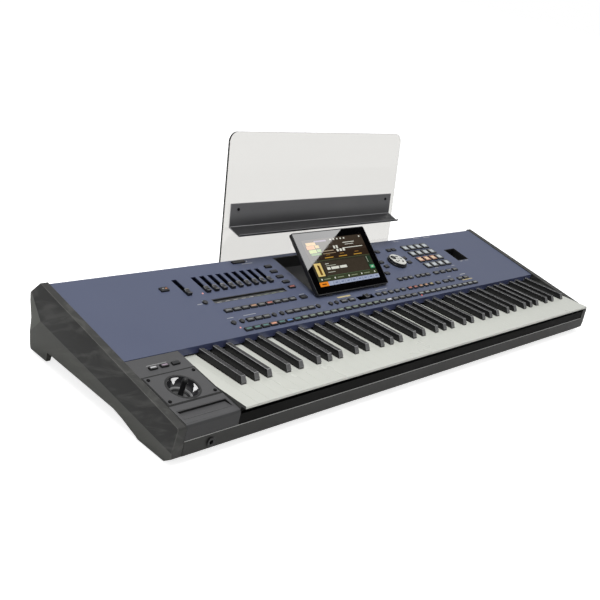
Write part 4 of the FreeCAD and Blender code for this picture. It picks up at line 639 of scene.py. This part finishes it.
# Buttons: dark sides, coloured tops with painted shade and highlight.
CAP_TOPS = {
    "teal": linear(66, 98, 96), "orange": linear(190, 130, 108), "blue": linear(70, 100, 148),
    "sage": linear(104, 114, 104), "grey": linear(98, 99, 99), "pale": linear(120, 123, 122),
    "amber": linear(150, 118, 96), "red": linear(150, 92, 84), "dark": linear(46, 47, 50),
    "gold": linear(150, 140, 102), "white": linear(236, 236, 232), "rose": linear(180, 162, 178),
    "bright": linear(224, 224, 226), "pad": linear(124, 128, 130),
}


def shaded(colour, share):
    """Colour made darker for painted shade, and lighter for a painted highlight."""
    return tuple(min(1.0, channel * share) for channel in colour[:3]) + (1.0,)


def caps(node, colours, place, width=0.5, default="grey", rim=0.14, heart=0.15, ring_shade_share=0.5, heart_highlight_share=2.2):
    """Row of caps; colours maps a cap's number, counted by rows from the front left, to its top.

    Rim and heart are shares of the cap's own size: the dark margin, and the ring round the bright middle; the ring is
    the top's colour darkened as painted shade, the middle lightened as a painted highlight."""
    bm = soften(cad_copy(node), width * MM, 2)
    tint = bm.faces.layers.float_color.new("tint")
    back = place.inverted()
    up = place.to_3x3().col[2]
    solids = sorted(islands(bm), key=lambda s: (round((back @ middle(s)).y / (4 * MM)), (back @ middle(s)).x))
    for number, solid in enumerate(solids):
        colour = CAP_TOPS[colours.get(number, default)]
        top = max((face for face in solid if face.normal.dot(up) > 0.95), key=lambda face: face.calc_area())
        size = math.sqrt(top.calc_area())
        # Painted light on each top: a ring of its colour made darker as shade, round a middle made lighter as a
        # highlight.
        bmesh.ops.inset_individual(bm, faces=[top], thickness=rim * size)
        ring = bmesh.ops.inset_individual(bm, faces=[top], thickness=heart * size)
        for face in ring["faces"]:
            face.material_index = 1
            face[tint] = shaded(colour, ring_shade_share)
        top.material_index = 1
        top[tint] = shaded(colour, heart_highlight_share)
    return piece(node + "_dressed", bm, [cap_black, cap_tint], BODY_OF[node], [node])


COLOUR_ROW = {0: "teal", 1: "teal", 2: "teal", 3: "orange", 4: "teal", 5: "blue", 6: "teal", 19: "white"}
COLOUR_ROW.update({number: "sage" for number in range(7, 19)})
COLOUR_ROW.update({number: "pale" for number in range(24, 35)})
caps("colour_buttons", COLOUR_ROW, PANEL)
caps("mode_buttons", {0: "dark", 1: "dark", 5: "dark", 6: "dark", 11: "dark"}, PANEL)
caps("bank_buttons", {3: "amber", 5: "red", 9: "dark", 10: "dark", 11: "dark"}, PANEL)
caps("side_buttons", {0: "red"}, PANEL, default="dark")
caps("style_buttons", {0: "dark", 1: "dark", 9: "red", 10: "red", 11: "amber", 12: "amber", 13: "gold"}, PANEL)
caps("dial_buttons", {}, PANEL, default="dark")
caps("pad_buttons", {4: "orange", 5: "orange", 6: "orange"}, PANEL, width=0.8, default="pad", rim=0.06, heart=0.22,
     ring_shade_share=0.9, heart_highlight_share=3.4)
caps("standby_button", {}, PANEL, default="dark")
caps("assign_buttons", {0: "bright", 1: "rose", 2: "dark"}, BLOCK, rim=0.16, ring_shade_share=0.5, heart_highlight_share=1.1)


def finger_face(face):
    """Finger face of a slider cap, where it is turned to the player, painted lighter as a highlight."""
    return 1 if face.normal.dot(PANEL_UP) > 0.5 and face.normal.dot(panel_along) < -0.03 else 0


def window_face(face):
    """Bed of the strip window; its walls are painted black as shade."""
    return 1 if face.normal.dot(PANEL_UP) > 0.8 else 0


PANEL_UP = PANEL.to_3x3().col[2]
dress("strip_window", [deep_black, window_bed], 0.3, 2, window_face)
for node in sorted(frame["nodes"]):
    if node.startswith("slider_") or node in ("master_slider", "cross_slider"):
        dress(node, [cap_black, knob_grey_highlit], 0.6, 2, finger_face)


# Value dial: black wheel, silver face with a finger hollow and dark marks.
def dial_face(face):
    """Silver face on top of the dial."""
    height = (DIAL.inverted() @ face.calc_center_median()).z
    return 1 if height > DIAL_TOP - NEAR / 2 and face.normal.dot(PANEL_UP) > 0.98 else 0


DIAL_TOP = 8 * MM
DIP_TURN = math.radians(128)    # place and mouth of the finger hollow
DIP_OUT = 10.5 * MM
DIP_R = 5 * MM
DIP_RIM = 1.9 * MM
DIAL_MARKS = [(58, 11, (7, 3.4)), (8, 11.5, (6, 3.2)), (-48, 11, (7, 3.4)), (212, 10.5, (7, 3.4)),
              (30, 3.5, (4, 2.4)), (250, 4, (4, 2.4))]      # turn, place from the middle, size
dress("value_dial", [gloss_black, dial_silver], 0.4, 2, dial_face)
bm = bmesh.new()
for turn, reach, size in DIAL_MARKS:
    at = Matrix.Rotation(math.radians(turn), 4, "Z") @ Vector((reach, 0, 0))
    tile(bm, DIAL, (at.x, at.y), size, DIAL_TOP + LAYER, turn=math.radians(turn + 90))
hollow = Matrix.Rotation(DIP_TURN, 4, "Z") @ Vector((DIP_OUT, 0, DIAL_TOP + LAYER))
rim = bmesh.new()
turned(rim, [(DIP_R, 0), (DIP_R + DIP_RIM, 0)], 40)
bmesh.ops.transform(rim, matrix=DIAL @ Matrix.Translation(hollow), verts=rim.verts)
piece("dial_hollow_rim", rim, [gloss_black], BODY_OF["value_dial"])
piece("dial_marks", bm, [deep_black], BODY_OF["value_dial"])


# Display: housing, glass and a generic picture of coloured fields.
dress("display_housing", [satin_black], 0.8, 3, least=BORE_EDGE)
dress("display_glass", [glass_black], 0.25)
WHITE_INK = linear(232, 232, 220)
AMBER_INK = linear(206, 158, 62)
FIELDS = [
    ((-0.5, 61.5), (173, 93), linear(58, 46, 36)),
    ((-0.5, 98), (173, 20), linear(66, 56, 46)),
    ((-0.5, 72), (173, 13), linear(50, 38, 28)),
    ((-0.5, 64.4), (173, 0.6), linear(88, 106, 70)),
    ((-0.5, 46), (173, 36), linear(54, 50, 40)),
    ((-72, 47.3), (19, 26), linear(232, 206, 130)),
    ((-71, 46), (6, 19), linear(110, 78, 34)),
    ((-72, 52), (3, 9), linear(70, 48, 24)),
    ((4, 47), (124, 27), linear(64, 56, 46)),
    ((4, 33), (124, 0.6), linear(88, 120, 84)),
    ((77, 47), (15, 30), linear(42, 62, 44)),
    ((-0.5, 28), (173, 8), linear(62, 70, 48)),
    ((-0.5, 18.9), (173, 8.2), linear(168, 178, 202)),
    ((-75.7, 18.9), (24, 8.6), linear(246, 146, 42)),
    ((-75.7, 18.9), (12, 2.6), linear(120, 66, 20)),
    ((-66, 99), (26, 6), linear(226, 190, 132)),
    ((-70, 92), (22, 7), linear(232, 168, 118)),
    ((-52, 92.5), (11, 6), linear(214, 190, 126)),
    ((-68, 84), (20, 7), linear(190, 204, 126)),
    ((-51, 84.5), (11, 6), linear(156, 186, 118)),
    ((-62, 77.6), (28, 3.6), linear(122, 160, 98)),
    ((-38, 103), (34, 3), linear(150, 136, 158)),
]
FIELDS += [((x, 18.9), (0.7, 8.2), linear(96, 104, 128)) for x in range(-50, 86, 17)]
FIELDS += [((x, 19), (7, 2), linear(110, 122, 156)) for x in range(-41, 80, 17)]
BARS = [((x, 104), (4, 2.6), WHITE_INK) for x in (-8, 2, 12, 22, 32, 78)]
BARS += [((x, 88), (5, 6), WHITE_INK) for x in (-6, 2)] + [((x, 81), (6, 5), WHITE_INK) for x in (0, 9, 18)]
BARS += [((40, 95), (34, 1.4), WHITE_INK), ((40, 91), (26, 1), WHITE_INK), ((46, 84), (60, 1.4), WHITE_INK)]
BARS += [((-26, 82), (30, 1.2), linear(196, 178, 150)), ((-26, 77), (36, 1.2), linear(170, 150, 120))]
BARS += [((x, 68.6), (24, 1.6), AMBER_INK) for x in (-32, 8, 52)]
BARS += [((x, 74), (12, 1.4), linear(150, 110, 52)) for x in (-32, 8, 52)]
BARS += [((-46, 57), (10, 1.2), WHITE_INK), ((-37, 53), (28, 1.2), linear(180, 182, 166))]
BARS += [((-46, 47.5), (9, 5), WHITE_INK), ((-28, 47.5), (22, 5), WHITE_INK), ((-4, 47.5), (20, 5), WHITE_INK)]
BARS += [((-42, 40), (20, 1.2), linear(190, 192, 176)), ((78, 39), (13, 7), linear(82, 168, 120))]
BARS += [((78, 39), (6, 2), WHITE_INK), ((72, 55), (1.6, 12), linear(170, 176, 160))]
BARS += [((x, 28), (3.4, 3), WHITE_INK) for x in (-77, -40, 0, 38, 78)]
BARS += [((x, 28), (18, 1.4), linear(150, 158, 128)) for x in (-62, -24, 16, 54)]
bm = bmesh.new()
for number, (centre, size, tint) in enumerate(FIELDS + BARS):
    tile(bm, SCREEN, centre, size, SCREEN_FACE + LAYER * (0.6 + 0.05 * number), tint)
piece("display_picture", bm, [picture_tint], BODY_OF["display_glass"])


# Printed marks and small lamps on the panel.
MARK = linear(196, 198, 202)
SMALL_MARK = linear(160, 163, 170)
GOLD = linear(222, 206, 154)
# Place on the panel and size of each bar, in millimetres, and its colour.
MARKS = [((-177, 186), (3, 3), MARK), ((-181, 179.6), (26, 1.4), MARK), ((-365, 91), (11, 1.3), MARK),
         ((-337, 46.4), (14, 1.2), MARK), ((-294, 45.8), (28, 1.2), MARK), ((-141, 72.5), (13, 1.2), MARK),
         ((-52, 45.8), (37, 3.8), GOLD), ((342, 27), (38, 2.4), GOLD), ((348, 45.6), (20, 2), MARK),
         ((278, 187), (22, 1.3), MARK), ((356, 189), (24, 1.3), MARK), ((396, 188), (26, 1.3), MARK),
         ((296, 80.4), (12, 1.2), MARK), ((355, 78), (12, 1.2), MARK), ((60, 45.8), (36, 1.2), MARK),
         ((297, 46), (12, 1.2), MARK)]
MARKS += [((403, 88), (9, 2.2), MARK), ((424, 88), (12, 2.2), linear(160, 164, 172))]
LAMPS = [((-338.8, 116.2), linear(255, 178, 168)), ((-337.7, 19.6), linear(255, 172, 162)),
         ((147, 7), linear(255, 120, 110))]
LAMP_R = 1.5 * MM
BAR_UP = 1.9            # small bars behind the buttons
BAR_DEEP = 0.8
BAR_SHARE = 0.55
back = PANEL.inverted()
for node in ("bank_buttons", "style_buttons", "dial_buttons", "mode_buttons"):
    source = cad_copy(node)
    for solid in islands(source):
        points = [back @ vert.co / MM for face in solid for vert in face.verts]
        left, right = min(point.x for point in points), max(point.x for point in points)
        rear = max(point.y for point in points)
        MARKS.append((((left + right) / 2, rear + BAR_UP), ((right - left) * BAR_SHARE, BAR_DEEP), SMALL_MARK))
    source.free()
bm = bmesh.new()
for centre, size, tint in MARKS:
    tile(bm, PANEL, centre, size, tint=tint)
piece("panel_marks", bm, [print_tint], "case")
STRIP_FALL = math.atan2(3.2, 9.2)       # slope of the window's bed
STRIP_IN = 0.8 * MM
SEGMENT_FIRST, SEGMENT_STEP, SEGMENT_COUNT, SEGMENT_PALE = 12, 18.4, 9, 5
strip_low = span("strip_window", PANEL)[0] / MM
bed = PANEL @ Matrix.Translation((0, (strip_low.y + 1) * MM, -STRIP_IN)) @ Matrix.Rotation(-STRIP_FALL, 4, "X")
bm = bmesh.new()
for number in range(SEGMENT_COUNT):
    pale = linear(226, 226, 222) if number < SEGMENT_PALE else linear(176, 190, 160)
    tile(bm, bed, (strip_low.x + SEGMENT_FIRST + number * SEGMENT_STEP, 2.2), (10, 1.7), tint=pale)
piece("strip_segments", bm, [print_tint], "case")
CAP_UP = 2.6 * MM       # top of a button above the panel
bm = bmesh.new()
tile(bm, PANEL, (-398, 140.5), (4.2, 2), CAP_UP + LAYER, linear(226, 150, 100))
tile(bm, PANEL, (-404, 141), (3.4, 1.4), CAP_UP + LAYER, linear(200, 200, 196))
piece("single_button_marks", bm, [print_tint], BODY_OF["bank_buttons"])
bm = bmesh.new()
tile(bm, BLOCK, (plate_low.x + 42, plate_high.y + 23), (36, 1.2), tint=linear(170, 170, 170))
piece("block_marks", bm, [print_tint], "case")
bm = bmesh.new()
colour = bm.faces.layers.float_color.new("tint")
for (u, v), tint in LAMPS:
    before = set(bm.faces)
    bmesh.ops.create_uvsphere(bm, u_segments=16, v_segments=8, radius=LAMP_R,
                              matrix=PANEL @ Matrix.Translation((u * MM, v * MM, 0)))
    for face in set(bm.faces) - before:
        face[colour] = tint
piece("panel_lamps", bm, [lamp_tint], "case")


# Studio: white floor that keeps the shadow, white surroundings, soft lamps.
def stage_material(name, colour, glow, camera_glow=0.0):
    """Matt stage finish; glow is given off always, camera_glow only towards the camera."""
    material, tree, shader = new_material(name, {
        "Base Color": colour, "Roughness": 1.0, "Specular IOR Level": 0.0, "Emission Color": (1, 1, 1, 1),
        "Emission Strength": glow})
    if camera_glow:
        path = tree.nodes.new("ShaderNodeLightPath")
        seen = tree.nodes.new("ShaderNodeMapRange")
        seen.inputs["To Max"].default_value = camera_glow
        tree.links.new(path.outputs["Is Camera Ray"], seen.inputs["Value"])
        tree.links.new(seen.outputs["Result"], shader.inputs["Emission Strength"])
        white = tree.nodes.new("ShaderNodeEmission")
        through = tree.nodes.new("ShaderNodeMixShader")
        tree.links.new(path.outputs["Is Transmission Ray"], through.inputs["Fac"])
        tree.links.new(shader.outputs["BSDF"], through.inputs[1])
        tree.links.new(white.outputs["Emission"], through.inputs[2])
        tree.links.new(through.outputs["Shader"], tree.nodes["Material Output"].inputs["Surface"])
    return material


def staged(name, bm, material):
    """Object of the studio, apart from the keyboard."""
    mesh = bpy.data.meshes.new(name)
    bm.to_mesh(mesh)
    bm.free()
    mesh.materials.append(material)
    thing = bpy.data.objects.new(name, mesh)
    bpy.context.scene.collection.objects.link(thing)
    return thing


FLOOR_HALF = 30.0
FLOOR_GLOW = 0.78       # lifts the lit floor to white towards the camera
bm = bmesh.new()
bmesh.ops.create_grid(bm, x_segments=1, y_segments=1, size=FLOOR_HALF)
staged("floor", bm, stage_material("floor_white", (0.82, 0.82, 0.82, 1), 0.0, FLOOR_GLOW))

SKY_LIGHT = 0.32        # surroundings as a lamp, as a reflection and as the backdrop
SKY_MIRRORED = 0.5
SKY_SEEN = 1.0
world = bpy.data.worlds.new("studio")
world.use_nodes = True
tree = world.node_tree
path = tree.nodes.new("ShaderNodeLightPath")
sky = tree.nodes["Background"]
sky.inputs["Color"].default_value = (1, 1, 1, 1)
seen = tree.nodes.new("ShaderNodeMath")
seen.operation = "MAXIMUM"
tree.links.new(path.outputs["Is Camera Ray"], seen.inputs[0])
tree.links.new(path.outputs["Is Transmission Ray"], seen.inputs[1])
levels = []
for source, low, high in ((seen.outputs["Value"], SKY_LIGHT, SKY_SEEN),
                          (path.outputs["Is Glossy Ray"], 0.0, SKY_MIRRORED - SKY_LIGHT)):
    level = tree.nodes.new("ShaderNodeMapRange")
    level.inputs["To Min"].default_value = low
    level.inputs["To Max"].default_value = high
    tree.links.new(source, level.inputs["Value"])
    levels.append(level.outputs["Result"])
total = tree.nodes.new("ShaderNodeMath")
tree.links.new(levels[0], total.inputs[0])
tree.links.new(levels[1], total.inputs[1])
tree.links.new(total.outputs["Value"], sky.inputs["Strength"])
bpy.context.scene.world = world


def lamp(name, at, aim, size, power):
    """Round soft lamp turned to a point."""
    data = bpy.data.lights.new(name, "AREA")
    data.shape = "DISK"
    data.size = size
    data.energy = power
    thing = bpy.data.objects.new(name, data)
    thing.location = at
    thing.rotation_euler = (Vector(aim) - Vector(at)).to_track_quat("-Z", "Y").to_euler()
    bpy.context.scene.collection.objects.link(thing)
    return thing


lamp("ceiling_lamp", at=(-0.4, -0.1, 3.3), aim=(0, 0, 0.1), size=2.4, power=72)
lamp("side_lamp", at=(-3.0, -1.4, 1.8), aim=(-0.2, -0.1, 0.05), size=1.4, power=10)

# Camera at the photograph's view.
CAMERA_AT = Vector((-1.33187, -0.91067, 0.65405))
AZIMUTH = math.radians(51.7551)
DIP = math.radians(20.605)
ROLL = math.radians(-13.5726)
LENS = 55.158
ahead = Vector((math.sin(AZIMUTH) * math.cos(DIP), math.cos(AZIMUTH) * math.cos(DIP), -math.sin(DIP)))
level_right = Vector((math.cos(AZIMUTH), -math.sin(AZIMUTH), 0))
level_down = ahead.cross(level_right)
right = level_right * math.cos(ROLL) + level_down * math.sin(ROLL)
down = level_down * math.cos(ROLL) - level_right * math.sin(ROLL)
camera_data = bpy.data.cameras.new("view")
camera_data.lens = LENS
camera_data.sensor_width = 36.0
camera_data.clip_end = 100.0
camera = bpy.data.objects.new("view", camera_data)
camera.matrix_world = Matrix((right, -down, -ahead)).transposed().to_4x4()
camera.location = CAMERA_AT
bpy.context.scene.collection.objects.link(camera)
bpy.context.scene.camera = camera


# Cards mirrored in the display: a dark flag, and a bright card with a slanting edge.
def mirrored(point, away):
    """Point some way off that is seen in the display's glass at a place given in millimetres."""
    face = SCREEN @ Matrix.Translation((0, 0, SCREEN_FACE))
    seen_at = face @ Vector((point[0] * MM, point[1] * MM, 0))
    stand_off = face.to_3x3().col[2]
    image = CAMERA_AT - stand_off * 2 * (CAMERA_AT - seen_at).dot(stand_off)
    return seen_at + (seen_at - image).normalized() * away


def card(name, corners, away, material):
    """Card that shows only as a reflection, its corners given where the glass mirrors them."""
    bm = bmesh.new()
    bm.faces.new([bm.verts.new(mirrored(corner, away)) for corner in corners])
    thing = staged(name, bm, material)
    thing.visible_camera = False
    thing.visible_diffuse = False
    thing.visible_shadow = False
    thing.visible_transmission = False
    return thing


FLAG_AWAY = 1.3
GLARE_AWAY = 1.25       # in front of the flag
GLARE = 6.5
card("dark_flag", [(-170, -60), (180, -60), (180, 200), (-170, 200)], FLAG_AWAY,
     stage_material("flag_black", (0, 0, 0, 1), 0.0))
card("glare_card", [(-150, 24.5), (70, 140.6), (-150, 180)], GLARE_AWAY,
     stage_material("card_white", (0, 0, 0, 1), GLARE))

bpy.context.scene.view_settings.view_transform = "Standard"
